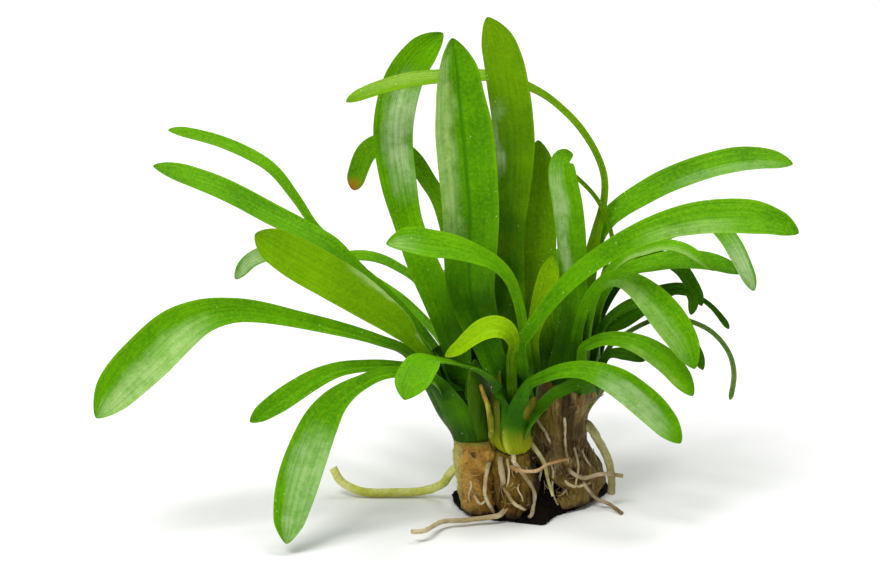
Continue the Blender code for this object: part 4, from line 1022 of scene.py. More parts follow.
def leaf(name, finish, points, roll, slot=None, crown=None, fold=0.15, face=EYE, painted_sheen=(0, 0.5, 0.4, 0.9, 0),
         sheen_whiteness=0.0, dark=9.0, rib=0.0, crease=0.0, tone=0.5, taper=1.25):
    """A leaf along points (across, up, behind, width), rolled about its length at stalk and blade.

    Its slot is its place in its crown's top. The crown is the one in its name, if no other is given.
    Bloom gives its pale sheen: how far across, how wide, from and to which share of the leaf, and how
    Painted sheen gives its pale band of painted highlight: how far across, how wide, from and to which
    share of the leaf, and how strong. Sheen whiteness whitens that band, and the stalk is darkened, as its
    own deeper green and as painted shade, for this many mm above the crown. The tip tapers over this
    many of its widths.
    """
    node = "leaf_" + name
    knots = [(*place(across, up, behind), width) for across, up, behind, width in points]
    base_face = Vector(face)
    base_fold = 0.0
    collar_shade_colour = heel_colour = ORIGIN
    below = []
    if slot:
        rings, collar_shade_colour, heel_colour, press = CROWNS[crown or name.split("_")[0]]
        high = crown_level(rings, 1.0)
        below, base_fold = base_knots(rings, slot, points[0][3], press)
        inward = Vector((high[0] - slot[0], high[1] - slot[1], 0.0)).normalized()
        stalk_face = Matrix.Rotation(math.radians(roll[0]), 3, "Z") @ Vector((face.x, face.y - 0.01, 0.0))
        turned = 1.0 if inward.dot(stalk_face) >= 0.0 else -1.0
        base_face = inward * turned
        base_fold *= turned
    curve = smooth_rows(below + knots, SPINE_STEPS)
    lengths = np.concatenate([[0.0], np.cumsum(np.linalg.norm(np.diff(curve[:, :3], axis=0), axis=1))])
    base = lengths[SPINE_STEPS * (len(below) - 1)] if slot else 0.0
    total = lengths[-1]
    tip = taper * points[-1][3]
    rounded = [total - tip * (1.0 - math.sin(0.5 * math.pi * (i + 1) / TIP_ROWS)) for i in range(TIP_ROWS)]
    places = np.array([*np.linspace(0.0, total - tip, LEAF_ROWS), *rounded])
    host = spine_host(name + "_leaf", [rows_at(curve, places, lengths)])
    above = places - base
    # The collar mask darkens the stalk above the crown: its own deeper green and painted shade.
    for label, values in (("share", np.clip(above / (total - base), 0.0, 1.0)), ("length", places * MM),
                          ("to_tip", (total - places) * MM),
                          ("clasp", np.clip(1.0 - above / CLASP_LENGTH, 0.0, 1.0) * bool(slot)),
                          ("collar_shade", np.clip(COLLAR_SHADE_DEPTH * (1.0 - above / dark), 0.0, 1.0) * bool(slot)),
                          ("heel", np.clip(HEEL_DEPTH - places / HEEL_LENGTH, 0.0, 1.0) * bool(slot))):
        host.data.attributes.new(label, "FLOAT", "POINT").data.foreach_set("value", values)
    mesh = grown_mesh(host, LEAF, {
        "Material": LEAF_FINISHES[finish], "Face": face, "Base Face": base_face,
        "Collar Shade Colour": collar_shade_colour, "Heel Colour": heel_colour, "Base Fold": base_fold,
        "Stalk Roll": math.radians(roll[0]), "Blade Roll": math.radians(roll[1]), "Blade Fold": fold,
        "Tip Length": tip * MM, "Crease": crease, "Seed": float(len(node) + abs(points[-1][0])), "Tone": tone,
        "Sheen Whiteness": sheen_whiteness, "Rib": rib, **dict(zip(PAINTED_SHEEN_INPUTS, map(float, painted_sheen)))})
    add_piece(name + "_leaf", mesh, [node])


leaf("left_thin", "fresh green", [
    (-23.4, 34.4, 5.5, 1.6), (-31, 44.2, 8, 1.6), (-37.2, 50.8, 9.5, 1.7), (-43.8, 56.4, 11, 2.2),
    (-47.8, 62, 11.6, 2.8), (-52.2, 67.6, 12, 3.4), (-56.8, 70.8, 12.3, 3.8), (-64, 73.8, 12.5, 3.8),
    (-73.4, 76.2, 12.5, 3.2)], (70, 52), (-19.4, 3.7), tone=0.9, dark=30)
leaf("left_long", "fresh green", [
    (-23.4, 33.8, 2.5, 2.2), (-34.8, 46.8, 3, 3.4), (-40.4, 52.4, 3, 5.2), (-46.2, 55.6, 3, 6.2),
    (-52.8, 58.8, 2.8, 6.8), (-59.6, 62.4, 2.5, 6.8), (-65.8, 65.2, 2.2, 6.6), (-76.4, 69, 2, 5.4)],
    (75, 52), (-18.6, 1.2), painted_sheen=(-0.5, 0.5, 0.05, 0.5, 0.3), tone=0.3)
leaf("left_broad", "olive green", [
    (-23.8, 32.6, -1.6, 3), (-27.6, 37.4, -2.6, 5.4), (-34.8, 42.8, -4, 7.6), (-41, 46.6, -5, 8.2),
    (-48.4, 50.8, -6, 8), (-56, 55.4, -7, 5.6)], (45, 6), (-18.4, -1.1), fold=0.12, dark=12, tone=0.6,
    painted_sheen=(1, 0.2, 0.16, 0.66, 0.9), sheen_whiteness=0.5, taper=0.8)
leaf("left_grey_tip", "fresh green", [
    (-22, 32, 11.6, 1.8), (-32, 41, 16, 2.4), (-42, 48, 19, 3.4), (-50, 51.6, 20, 3.8), (-56, 50.4, 20, 3.6),
    (-60, 46.4, 20, 3)], (70, 25), (-18, 6.2), painted_sheen=(0, 1.2, 0.6, 1.1, 0.9), sheen_whiteness=0.8, tone=0.6)
leaf("left_arching", "fresh green", [
    (-25.4, 31, -5.8, 2.2), (-31.4, 33.8, -6.4, 2.4), (-39, 36.2, -7.6, 2.9), (-48, 38.4, -9.6, 3.4),
    (-55.4, 39.8, -11.2, 4.2), (-61, 40, -12.6, 5), (-66.6, 38.8, -14.2, 6.8), (-71.8, 35.8, -16, 9),
    (-77, 31, -18, 9.6), (-82.6, 25.4, -20, 8.6), (-87.8, 18.6, -22, 5)], (60, 5), (-20.6, -3.1), fold=0.18,
    painted_sheen=(-0.5, 1, 0.6, 1.08, 0.7), sheen_whiteness=0.6, dark=28)
leaf("left_low", "fresh green", [
    (-23, 27.6, -7.6, 2), (-29, 28.9, -9.2, 2.2), (-34.4, 28.9, -10, 2.5), (-39.6, 28.1, -11.6, 3.1),
    (-44.8, 25.8, -13.2, 4.1), (-51, 21.8, -14.8, 4.4), (-57, 17.8, -16, 2.6)], (60, 15), (-18.9, -4.9),
    dark=18, tone=0)
leaf("left_drooping", "fresh green", [
    (-21, 26.4, -9.4, 2), (-29, 27.6, -12.6, 2.4), (-35, 25.5, -14.6, 3.1), (-39.6, 22.3, -16.4, 5),
    (-42.8, 17.8, -18.2, 7), (-45.6, 11.2, -20.4, 8), (-47.6, 5, -22.2, 8), (-49, -1.2, -23.8, 6.4),
    (-49.7, -6.6, -25.4, 3.6)], (50, 0), (-16.4, -5.4), fold=0.18, painted_sheen=(-0.35, 1.2, 0.56, 1.12, 0.5),
    sheen_whiteness=1, dark=16, tone=0.3)
leaf("left_behind_low", "fresh green", [
    (-20.8, 33.2, 8, 2.2), (-24.8, 38, 9.4, 2.6), (-29.8, 43.2, 10.8, 3), (-34.4, 47.2, 11.8, 3),
    (-39.2, 50.4, 12.6, 2.6)], (60, 45), (-15.8, 3), dark=20, tone=0.2)
leaf("left_behind", "fresh green", [
    (-18, 36.2, 10, 1.8), (-23, 45, 13.4, 2.2), (-27.6, 48.6, 14.8, 2.6), (-32, 50.5, 15.8, 3),
    (-36.6, 50.8, 16.4, 3), (-42, 49.6, 16.8, 2.2)], (60, 50), (-13.4, 4.4), dark=16)
leaf("left_upright", "fresh green", [
    (-16.4, 34.2, 2.6, 5.4), (-19.3, 42.2, 4, 6.2), (-22.7, 50, 5.6, 6.2), (-25.4, 57.6, 7, 5.8),
    (-27.2, 65, 8.2, 7), (-28.4, 73.6, 9.2, 7.7), (-28, 80, 9.8, 7.9), (-26.2, 86.4, 10.2, 7.6),
    (-22.8, 91.6, 10.4, 6.4), (-18.4, 95.6, 10.4, 4.6)], (0, 4), (-13.2, 0.6), fold=0.22,
    painted_sheen=(0.3, 1.1, 0.5, 0.9, 1), sheen_whiteness=0.9, dark=28, tone=0.9)
leaf("left_orange_tip", "orange tipped", [
    (-11.4, 36.2, 6.4, 3.4), (-15.4, 50, 9, 4.4), (-18.8, 61, 12, 3.6), (-21.6, 66, 13.6, 3.6),
    (-24.8, 70.4, 15, 4), (-29.4, 73.2, 16.4, 4.4), (-33.6, 71.4, 17.6, 4.6), (-36.4, 64.2, 18.6, 3.8)],
    (0, 20), (-10.8, 3.4), dark=20, taper=0.8)


# Leaves of the middle crown
# The tallest leaves stand up in the middle, one folded along its midrib. Shorter, younger ones curl
# over in front of them, one of them lime yellow, and two long ones arch out to the right.
leaf("middle_folded", "fresh green", [
    (-8.8, 31, -1.6, 5.2), (-11, 37.4, -0.6, 7.4), (-13, 44.2, 0.2, 9.2), (-13.2, 51, 0.8, 10.4),
    (-13.1, 58.8, 1.2, 11), (-13.5, 65, 1.4, 11.3), (-14, 71, 1.4, 11.5), (-14.6, 77, 1.2, 11.2),
    (-15.2, 82.8, 1, 9.6), (-15.6, 88, 0.8, 8), (-16.6, 94.6, 0.4, 5.4)], (0, 6), (-5.9, -3), fold=0.42,
    painted_sheen=(-0.75, 0.7, 0.4, 1.02, 0.8), sheen_whiteness=0.4, dark=44, rib=1, crease=0.7, tone=0.1)
leaf("middle_tallest", "olive green", [
    (-4.4, 32, 1.6, 6.2), (-5.2, 45, 4.6, 6.4), (-5.2, 56, 6, 6.2), (-4.4, 63, 6.2, 6.6), (-4, 72, 6, 7.8),
    (-4.5, 79, 5.4, 8.1), (-5.3, 84.6, 4.8, 8.1), (-6.2, 89.6, 4.2, 7.7), (-7.6, 94.2, 3.6, 6.6),
    (-9.6, 98.8, 3, 4.8)], (0, -5), (-3.3, -0.7), fold=0.2, dark=68, tone=0.45,
    painted_sheen=(-0.98, 0.3, 0.52, 0.8, 0.85), sheen_whiteness=1)
leaf("middle_arching", "fresh green", [
    (-2.2, 33, -4.8, 2), (-3.2, 40.2, -5.2, 2.2), (-5, 45.8, -6, 2.6), (-7.8, 49.1, -7, 3.2),
    (-11.4, 50.9, -8, 4.2), (-16, 52.4, -9, 5.4), (-21, 53.2, -10, 6.2), (-25.4, 53.8, -11, 5.8),
    (-29.8, 53.4, -12, 3.6)], (10, 30), (-1.9, -4.5), painted_sheen=(-0.3, 0.8, 0.84, 1.08, 0.5), sheen_whiteness=0.6, dark=16,
    tone=0.65)
leaf("middle_lime", "yellow green", [
    (-5, 29.6, -7.6, 2), (-4.4, 33.4, -8.8, 2.6), (-5.6, 35.8, -9.8, 4), (-7.8, 36.6, -10.8, 4.8),
    (-10.4, 36, -11.6, 4.6), (-12.8, 34.4, -12.2, 3.8), (-15.2, 32.4, -12.8, 3), (-18, 30.8, -13.2, 2)],
    (0, 28), (-4.6, -6.4), dark=19, tone=0.8)
leaf("middle_toward", "fresh green", [
    (-8.5, 25.7, -10.3, 1.9), (-11.4, 28, -11.8, 1.8), (-15, 29.2, -14.2, 1.9), (-18.6, 29.9, -17.2, 2.8),
    (-21.6, 30, -20.8, 5.6), (-23, 28.2, -24.8, 7), (-24.6, 25.2, -28.4, 6.8), (-26.1, 22.2, -31.4, 5)],
    (0, -8), (-6.9, -7.5), face=SKY, dark=22, tone=0.5, taper=0.8)
leaf("middle_short", "yellow green", [
    (-0.6, 34, -2.2, 2.6), (1, 41, -1.8, 4), (2.4, 46.4, -1.6, 4.2), (3.4, 51, -1.4, 3)], (0, 10),
    (-0.5, -2.4), dark=25, tone=0)
leaf("middle_low_right", "fresh green", [
    (-1.4, 24.8, -10.4, 2.2), (1.8, 26.4, -11, 2.6), (5.2, 27.7, -11.6, 3), (9, 28.1, -12.4, 3.6),
    (12.8, 27.2, -13.2, 4.8), (16.6, 25.4, -14, 6), (20.2, 22.8, -14.8, 6.4), (24, 19.4, -15.6, 6.2),
    (29.2, 13.6, -16.6, 4)], (-50, -18), (-3.6, -8.9), painted_sheen=(0.6, 1.15, 0.45, 0.97, 0.6), sheen_whiteness=0.9,
    dark=14, tone=0.2)
leaf("middle_dark", "deep green", [
    (-2.4, 13.6, -6.4, 1.6), (-1.4, 16.6, -7, 2.2), (0, 18.9, -7.2, 2.5), (1.5, 20.8, -6.9, 2.6),
    (3.4, 22.8, -6.2, 2.6), (6.4, 24.4, -5.6, 2.8), (10.4, 26.2, -5.2, 2.8), (15.6, 26.8, -5, 2.2)],
    (-50, -35))
leaf("middle_long_right", "fresh green", [
    (-2.4, 32, -8.2, 2.4), (-0.6, 36, -9.2, 2.8), (3.4, 41.6, -10.6, 3.2), (8.6, 47.2, -11.4, 4),
    (16.6, 52.8, -12.4, 4.6), (24, 56.2, -13.2, 5.6), (31, 58, -13.8, 6.8), (37.4, 58.6, -14.2, 7.4),
    (43.6, 58.4, -14.4, 7.4), (48.4, 57.4, -14.4, 5.6), (52.8, 55.6, -14.2, 3.4)], (-40, -28), (-1, -6.6),
    painted_sheen=(0.6, 0.8, 0.55, 0.88, 0.42), tone=0.1, sheen_whiteness=0.4, dark=18)


# Leaves of the right crown
# One upright leaf with a curled tip, a thin one that sweeps right over behind the tall leaves, and
# a fan of long arching leaves to the right, those lying behind one another darkened with painted shade.
leaf("right_upright", "fresh green", [
    (6.2, 33, 1.6, 5.4), (7.7, 41, 1.6, 5.2), (7.4, 49, 1.6, 5.6), (7.1, 55, 1.5, 5.8), (6.4, 61, 1.4, 5.9),
    (5.4, 66.6, 1.4, 5.6), (5.4, 70.4, 2, 4.6), (7.6, 71.4, 2.8, 3.6)], (0, 5), (4.4, 1.7), fold=0.25,
    painted_sheen=(-0.4, 0.65, 0.42, 0.97, 0.7), sheen_whiteness=0.8, dark=34)
leaf("right_olive", "olive green", [
    (1.4, 33, 4.6, 6), (-0.2, 43, 7.6, 7.2), (0.3, 53, 9.6, 7.8), (0.6, 62.2, 10.6, 6.6), (0.9, 69, 11, 5.4),
    (0.6, 74.2, 11, 3.6)], (0, 0), (2.4, 4.3), fold=0.2, dark=30, tone=0.35)
leaf("right_sweeping", "olive green", [
    (9.2, 38.2, 5.6, 2.6), (10.8, 50.4, 8, 3), (12, 56, 9.2, 2.4), (13.5, 62, 10.4, 1.8),
    (13.6, 67, 11.2, 1.7), (11.8, 72, 11.6, 1.7), (8.8, 76.6, 11.6, 1.8), (5.4, 80.2, 11.2, 1.8),
    (1.2, 83.4, 10.4, 2), (-4.8, 86, 8.6, 2.6), (-11.4, 86.9, 6.8, 3.2), (-18.8, 86.6, 5.2, 3.8),
    (-25, 85.9, 3.8, 4.2), (-31.4, 84.2, 2.6, 3.8), (-37.8, 81.8, 1.6, 2.6)], (0, 42), (6.4, 3.5), dark=30,
    tone=0.7, painted_sheen=(0.3, 0.9, 0.6, 1.05, 0.45))
leaf("right_dry_stalk", "olive green", [
    (10.4, 37, 13.2, 1), (12.8, 45, 11.8, 0.9), (14.6, 50.6, 9.6, 0.9), (15.3, 55.2, 8, 0.9),
    (12.6, 62, 8, 0.9), (8.2, 66.8, 7.6, 0.9), (4.6, 69.2, 7.2, 0.8)], (0, 0), (8.9, 10.4))
leaf("right_high", "fresh green", [
    (10.8, 42, 9.6, 2.4), (12.2, 52.4, 11, 3.2), (14.2, 57.4, 11.6, 4.4), (17.4, 60.4, 12, 5.2),
    (21.4, 62.9, 12.4, 5.8), (25.8, 65.3, 12.8, 6.2), (30.4, 67.2, 13, 6.4), (35.4, 68.8, 13.2, 6.4),
    (40.6, 69.9, 13.4, 6.4), (45.8, 70.1, 13.4, 5.4), (51.6, 69.4, 13.2, 3.4)], (-45, -38), (7.3, 5.8),
    painted_sheen=(0.6, 0.8, 0.6, 1.02, 0.28), sheen_whiteness=0.8, dark=18, tone=0.05)
leaf("right_hanging_tip", "fresh green", [
    (12.4, 40.2, 11, 1.8), (18, 51.4, 10.4, 2.2), (24, 56, 8.4, 2.8), (30.4, 58.2, 6.4, 3.4),
    (35, 57.8, 4.4, 3.8), (38.2, 54.8, 2.8, 4), (40.6, 50.8, 1.6, 4), (43.8, 44, 0.8, 2.8)], (-50, -24),
    (7.8, 8.4), painted_sheen=(0, 1.2, 0.78, 1.1, 0.8), sheen_whiteness=1, tone=0.3)
leaf("right_level_back", "fresh green", [
    (12.6, 38, 5.4, 1.8), (15, 45, 5.6, 2.4), (19, 48, 5, 3.4), (23.4, 49.2, 4.4, 4.6),
    (28.4, 49.9, 3.8, 5.2), (33.2, 49.7, 3.4, 5.2), (37, 49, 3.2, 4.6), (41.4, 47.4, 3.2, 2.8)], (-55, -45),
    (12.2, 4.6), dark=20, tone=0.3)
leaf("right_level_front", "fresh green", [
    (11, 37, 1.4, 1.8), (13.4, 45.4, 0.8, 2.2), (17.6, 50.2, 0, 2.6), (22, 52, -1, 3), (26, 52.9, -2, 3.2),
    (29.6, 52.2, -3, 3.4), (32.8, 50.2, -3.8, 3.2), (35.8, 48, -4.4, 2.2)], (-55, -48), (9.6, 2.4),
    painted_sheen=(0.6, 0.8, 0.5, 1, 0.6), sheen_whiteness=0.4, dark=16)
leaf("right_dark_tip", "deep green", [
    (13, 38, 13.6, 1.8), (18, 47, 13.2, 2.2), (24, 50.6, 11, 2.8), (28.6, 48.6, 8.4, 3.2),
    (31.4, 44.8, 7.4, 3), (33.4, 41, 6.6, 2.2)], (-50, -25), (10.6, 9.2))
leaf("right_spoon_tip", "deep green", [
    (14.4, 35, 8.8, 1), (20, 41, 9, 1), (26, 43.4, 8.6, 1), (31, 43.2, 8, 1), (35, 41, 7.2, 1.1),
    (38.8, 36.4, 6.6, 1.6)], (-40, -20), (12, 7.8))
leaf("right_dark_broad", "deep green", [
    (12.4, 34.6, 7.8, 2.2), (17.6, 38.4, 7.4, 4.2), (22.4, 41.8, 6, 4.4), (26.4, 43.9, 5.4, 3),
    (29.8, 44.3, 4.8, 2.2), (31.4, 42.4, 4.6, 2.2), (31.2, 39.2, 4.4, 2.2)], (-50, -20), (10, 6.8), tone=0.9)
leaf("right_drooping", "fresh green", [
    (8.8, 36, -2.6, 2.2), (11, 42.4, -3.6, 2.4), (14, 45.8, -4.6, 2.8), (17, 46.4, -6.2, 3.6),
    (20, 45, -7.8, 4.8), (23.2, 42.2, -9.4, 6.2), (26.4, 38.4, -11, 7), (29.4, 34, -12.6, 6.2),
    (32, 28.4, -14.2, 3.8)], (-40, -14), (7.4, -0.9), painted_sheen=(0.6, 0.9, 0.45, 1.02, 0.42), sheen_whiteness=0.4, dark=26,
    tone=0.15)
leaf("right_behind_drooping", "deep green", [
    (13, 35.6, 3.2, 1.8), (18.6, 41, 1.6, 2.2), (24, 41, -0.4, 2.6), (28.4, 37, -2.4, 3),
    (31.4, 32.6, -3.8, 3), (33.6, 28.2, -4.8, 2.4)], (-50, -20), (11.5, 2.5), tone=0.8)
leaf("right_thin_stalk", "grey green", [
    (15, 32.6, 3.6, 1), (21, 37, 2.8, 1), (26.4, 38.8, 2, 1), (31, 37.9, 1.2, 1), (35.4, 35.7, 0.4, 1),
    (38.6, 31.8, -0.2, 1), (39.7, 27.4, -0.6, 1.1), (39, 22.2, -1, 1.1)], (-40, -10), (12.8, 6.4), tone=0.6)
leaf("right_low", "fresh green", [
    (9.6, 31.4, -5, 2), (11.2, 33.2, -5.6, 2.4), (14, 34.2, -6, 2.8), (17.4, 34.1, -6.8, 3.4),
    (21, 33, -8, 4.4), (24.4, 31, -9.4, 5.2), (27.4, 28.4, -10.6, 5.2), (31.6, 23, -12.4, 3.8)], (-50, -26),
    (10.2, -0.6), painted_sheen=(0.8, 0.6, 0.5, 1, 0.5), dark=12)
leaf("right_low_dark", "deep green", [
    (14.2, 30.6, 0, 1.8), (18, 31.2, -1.2, 2.8), (22, 30, -2.4, 2.6)], (-50, -30), (12.1, 0.8))


# Leaves on the far side
# The photo does not show these. They are of the same kind as the rest and spread round the back, so
# the tuft is whole from every side.
leaf("back_far_left", "fresh green", [
    (-19, 34, 14, 2), (-26, 41, 20, 3.4), (-33, 45, 28, 5.4), (-38, 47, 36, 6), (-42, 46, 43, 4.4)],
    (0, -10), (-15.6, 6.8), crown="left", face=SKY)
leaf("back_left", "deep green", [
    (-12.2, 34, 11, 2.2), (-14, 44, 21, 4), (-15.4, 47.6, 33, 6), (-16, 43.6, 47, 4.6)], (0, 0), (-12.4, 7),
    crown="left", face=SKY)
leaf("back_tall", "fresh green", [
    (-8.8, 36, 9.6, 3.6), (-10.8, 48, 15, 4.6), (-12.6, 62, 21, 5.8), (-13.6, 74, 25, 6.6),
    (-14.2, 82, 28, 4.8)], (0, -12), (-9.9, 5.8), crown="left")
leaf("back_tall_right", "deep green", [
    (0.8, 38, 13.6, 2.4), (-0.8, 50, 18.4, 3.4), (-2.8, 64, 24, 5.4), (-4.2, 74, 29, 6.2),
    (-5.4, 80, 33, 4.6)], (0, 10), (4.2, 8.1), crown="right")
leaf("back_middle", "fresh green", [
    (3.6, 36, 10.6, 4.4), (3.4, 46, 18, 5.2), (2.2, 51.6, 30, 6.2), (0, 50, 45, 4.4)], (0, 0), (1.4, 6.6),
    crown="right", face=SKY)
leaf("back_right", "fresh green", [
    (6.4, 37, 15, 2.2), (7.6, 47, 24, 3.8), (8.6, 50.6, 34, 5.8), (8.8, 47, 48, 4.6)], (0, 0), (5.8, 10.4),
    crown="right", face=SKY)
leaf("back_far_right", "fresh green", [
    (13.6, 43, 18, 2.2), (20.4, 51.6, 24, 3.6), (28.4, 56, 31, 5.6), (36, 57.6, 40, 4.4)], (0, 10),
    (7.2, 12), crown="right", face=SKY)
leaf("back_low_right", "deep green", [
    (14, 35, 16, 2), (20, 39.4, 22, 3.2), (25, 39.8, 30, 5.2), (29, 36.4, 38, 4.2)], (0, 10), (10.9, 11.6),
    crown="right", face=SKY)


# Runner
# The creeping stem that the tuft spread by: a smooth, pale yellow-green tube from the foot of the
# left stem, with a blunt, slightly swollen end where it broke from its neighbour.
RUNNER_WIDTH = 1.8
RUNNER = [(-14.8, 9.4, 0.6), (-16.4, 8.2, 2.4), (-17.4, 6.9, 4.2), (-18.6, 5.4, 6.0), (-22.4, 4.0, 8.0),
          (-28.4, 3.7, 8.0), (-34.6, 3.9, 8.2), (-38.6, 5.8, 8.6), (-40.4, 8.6, 9.2)]


def root_finish(name, dark, middle, pale, gloss=0.42):
    """A wet root: pale skin, brown flecks and streaks, darker with soil near the ground."""
    material, position = new_finish(name)
    mottle = mottle_at(position, 330.0, 2200.0)
    streaks = noise_at(position, 210.0, 2.0, 0.5).fade(0.52, 0.68, 0.0, 0.55)
    flecks = noise_at(position, 1300.0, 3.0, 0.6).fade(0.55, 0.7, 0.0, 0.6)
    stain = soil_on(position, 0.0016)[0]
    colour = layered(middle, (mottle["Patches"], pale), (streaks, dark), (flecks, dark), (stain * 0.55, dark))
    return end_finish(material, colour, mottle["Grain"].fade(0.3, 0.7, gloss, gloss + 0.2),
                      mottle["Grain"], depth=0.0002)


def root_spine(points, width, thin_end):
    """A root's spine: its points, with its width falling evenly to this share at its end."""
    count = len(points) - 1
    return [(*spot, width * (1.0 + (thin_end - 1.0) * i / count)) for i, spot in enumerate(points)]


def strand(name, spines, material, nodes=(), sides=12, wander=0.4, knobs=0.5, seed=0.0):
    """Roots or a runner swept along smooth spines."""
    mesh = grown_mesh(spine_host(name, [smooth_rows(spine, 8) for spine in spines]), STRAND, {
        "Material": material, "Step": 0.00035, "Sides": sides, "Flatness": 1.0, "Wander": wander * MM,
        "Knobs": knobs, "Seed": seed})
    add_piece(name, mesh, nodes)


runner_skin = root_finish("pale runner", (0.44, 0.40, 0.06), (0.58, 0.62, 0.07), (0.78, 0.78, 0.28),
                          gloss=0.3)
runner_path = [tuple(place(*spot)) for spot in RUNNER]
strand("runner_stem", [root_spine(runner_path, RUNNER_WIDTH, 0.95)], runner_skin, ["runner"],
       sides=20, wander=0.1, knobs=0.12)


# Roots
# Thin, soft roots, cream to tan, that grow from the foot of the crowns, run down over the stems and
# trail on the ground. Each is dressed along the same line as its solid.
IN = "into the stem"
ON = "on the stem"
SUNK = 0.9
SIGHT_REACH = 40.0
NUDGES = (0.0, 0.3, -0.3, 0.6, -0.6, 1.0, -1.0, 1.5, -1.5)

# Each root's finish, width, share of its width at its end, and points (across, up, behind).
ROOTS = {
    "left_ground": ("cream", 1.1, 0.8, [
        (-5.4, 1.0, IN), (-6.4, -0.2, -7.0), (-7.8, -1.0, -7.8), (-13.4, -1.8, -9.0), (-18.8, -2.2, -11.2),
        (-22.0, -3.9, -17.8), (-24.8, -4.1, -18.6)]),
    "left_front": ("cream", 0.95, 0.7, [
        (-9.0, 9.8, IN), (-9.6, 8.0, ON), (-10.0, 3.4, ON), (-8.6, 0.4, ON), (-8.0, -0.4, IN)]),
    "pale_short": ("cream", 1.3, 0.8, [
        (-7.0, 11.4, IN), (-6.9, 9.6, ON), (-6.7, 8.2, ON), (-6.4, 6.2, ON), (-6.2, 5.2, IN)]),
    "middle_front": ("brown", 0.9, 0.85, [
        (-4.8, 10.8, IN), (-4.0, 9.6, ON), (-2.0, 6.8, ON), (-0.2, 4.0, ON), (-0.2, 1.6, ON),
        (-0.6, -0.6, ON), (-1.4, -1.4, IN)]),
    "orange": ("orange", 0.72, 0.8, [
        (-5.0, 9.2, IN), (-3.8, 8.3, -8.6), (0.2, 8.0, -8.2), (2.4, 9.3, -6.2), (5.6, 10.2, -3.0),
        (7.0, 10.7, IN)]),
    "right_front": ("greenish", 1.1, 0.5, [
        (-1.4, 14.0, -3.4), (0.0, 12.4, -4.6), (1.8, 9.6, -4.2), (2.7, 5.8, -5.2), (3.6, 3.0, -6.4)]),
    "right_level": ("brown", 0.9, 0.9, [
        (6.6, 9.0, IN), (7.4, 7.6, ON), (9.6, 6.6, ON), (13.6, 7.4, 0.0), (17.6, 7.0, 0.4)]),
    "right_low": ("brown", 0.7, 1.15, [
        (9.4, 6.4, IN), (10.0, 5.0, ON), (12.2, 2.6, 1.2), (14.8, 1.4, 0.8), (17.4, -0.4, -2.4)]),
    "right_loop": ("greenish", 1.9, 0.8, [
        (9.0, 18.4, 5.6), (11.4, 16.3, 3.6), (12.5, 14.4, 3.4), (13.7, 12.2, 3.2), (14.8, 9.6, 3.0),
        (15.3, 6.6, 3.0), (15.3, 3.4, 3.0)]),
}
ROOT_FINISHES = {name: root_finish(name + " root", *colours) for name, *colours in (
    ("cream", (0.18, 0.11, 0.03), (0.48, 0.36, 0.18), (0.70, 0.60, 0.38)),
    ("brown", (0.13, 0.07, 0.022), (0.33, 0.23, 0.11), (0.52, 0.43, 0.27)),
    ("greenish", (0.15, 0.11, 0.02), (0.32, 0.28, 0.08), (0.56, 0.52, 0.26)),
    ("orange", (0.22, 0.08, 0.02), (0.44, 0.22, 0.07), (0.60, 0.44, 0.24)))}


def solid_faces(nodes):
    """A search tree of these solids' own faces."""
    points = []
    faces = []
    for name in nodes:
        start = len(points)
        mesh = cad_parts[name].data
        points += [vertex.co.copy() for vertex in mesh.vertices]
        faces += [[start + index for index in face.vertices] for face in mesh.polygons]
    return BVHTree.FromPolygons(points, faces)


front_faces = solid_faces(["rootstock_left", "rootstock_middle", "rootstock_right", "crown_left",
                           "crown_middle", "soil_clod"])


def seen_spot(across, up):
    """The point of the stems, crowns or soil that is seen here, if any, and the line of sight."""
    near = place(across, up, -SIGHT_REACH)
    sight = (place(across, up, SIGHT_REACH) - near).normalized()
    return front_faces.ray_cast(near * MM, sight)[0], sight


def lay(across, up, lift):
    """The point seen here, or just beside it at a gap, this far in front of the stems behind it."""
    for nudge in NUDGES:
        spot, sight = seen_spot(across + nudge, up)
        if spot:
            return tuple(spot / MM - sight * lift)
    raise ValueError("no stem is seen at %s across, %s up" % (across, up))


def root_path(points, width, lift=0.6):
    """A root's points in mm, each laid on the stems or sunk into them where that is asked for."""
    lifts = {ON: 0.5 * width + lift, IN: -SUNK}
    return [lay(across, up, lifts[behind]) if behind in lifts else tuple(place(across, up, behind))
            for across, up, behind in points]


for number, (name, (finish, width, thin_end, points)) in enumerate(ROOTS.items()):
    strand("rootlet_" + name, [root_spine(root_path(points, width), width, thin_end)], ROOT_FINISHES[finish],
           ["root_" + name], seed=float(number))


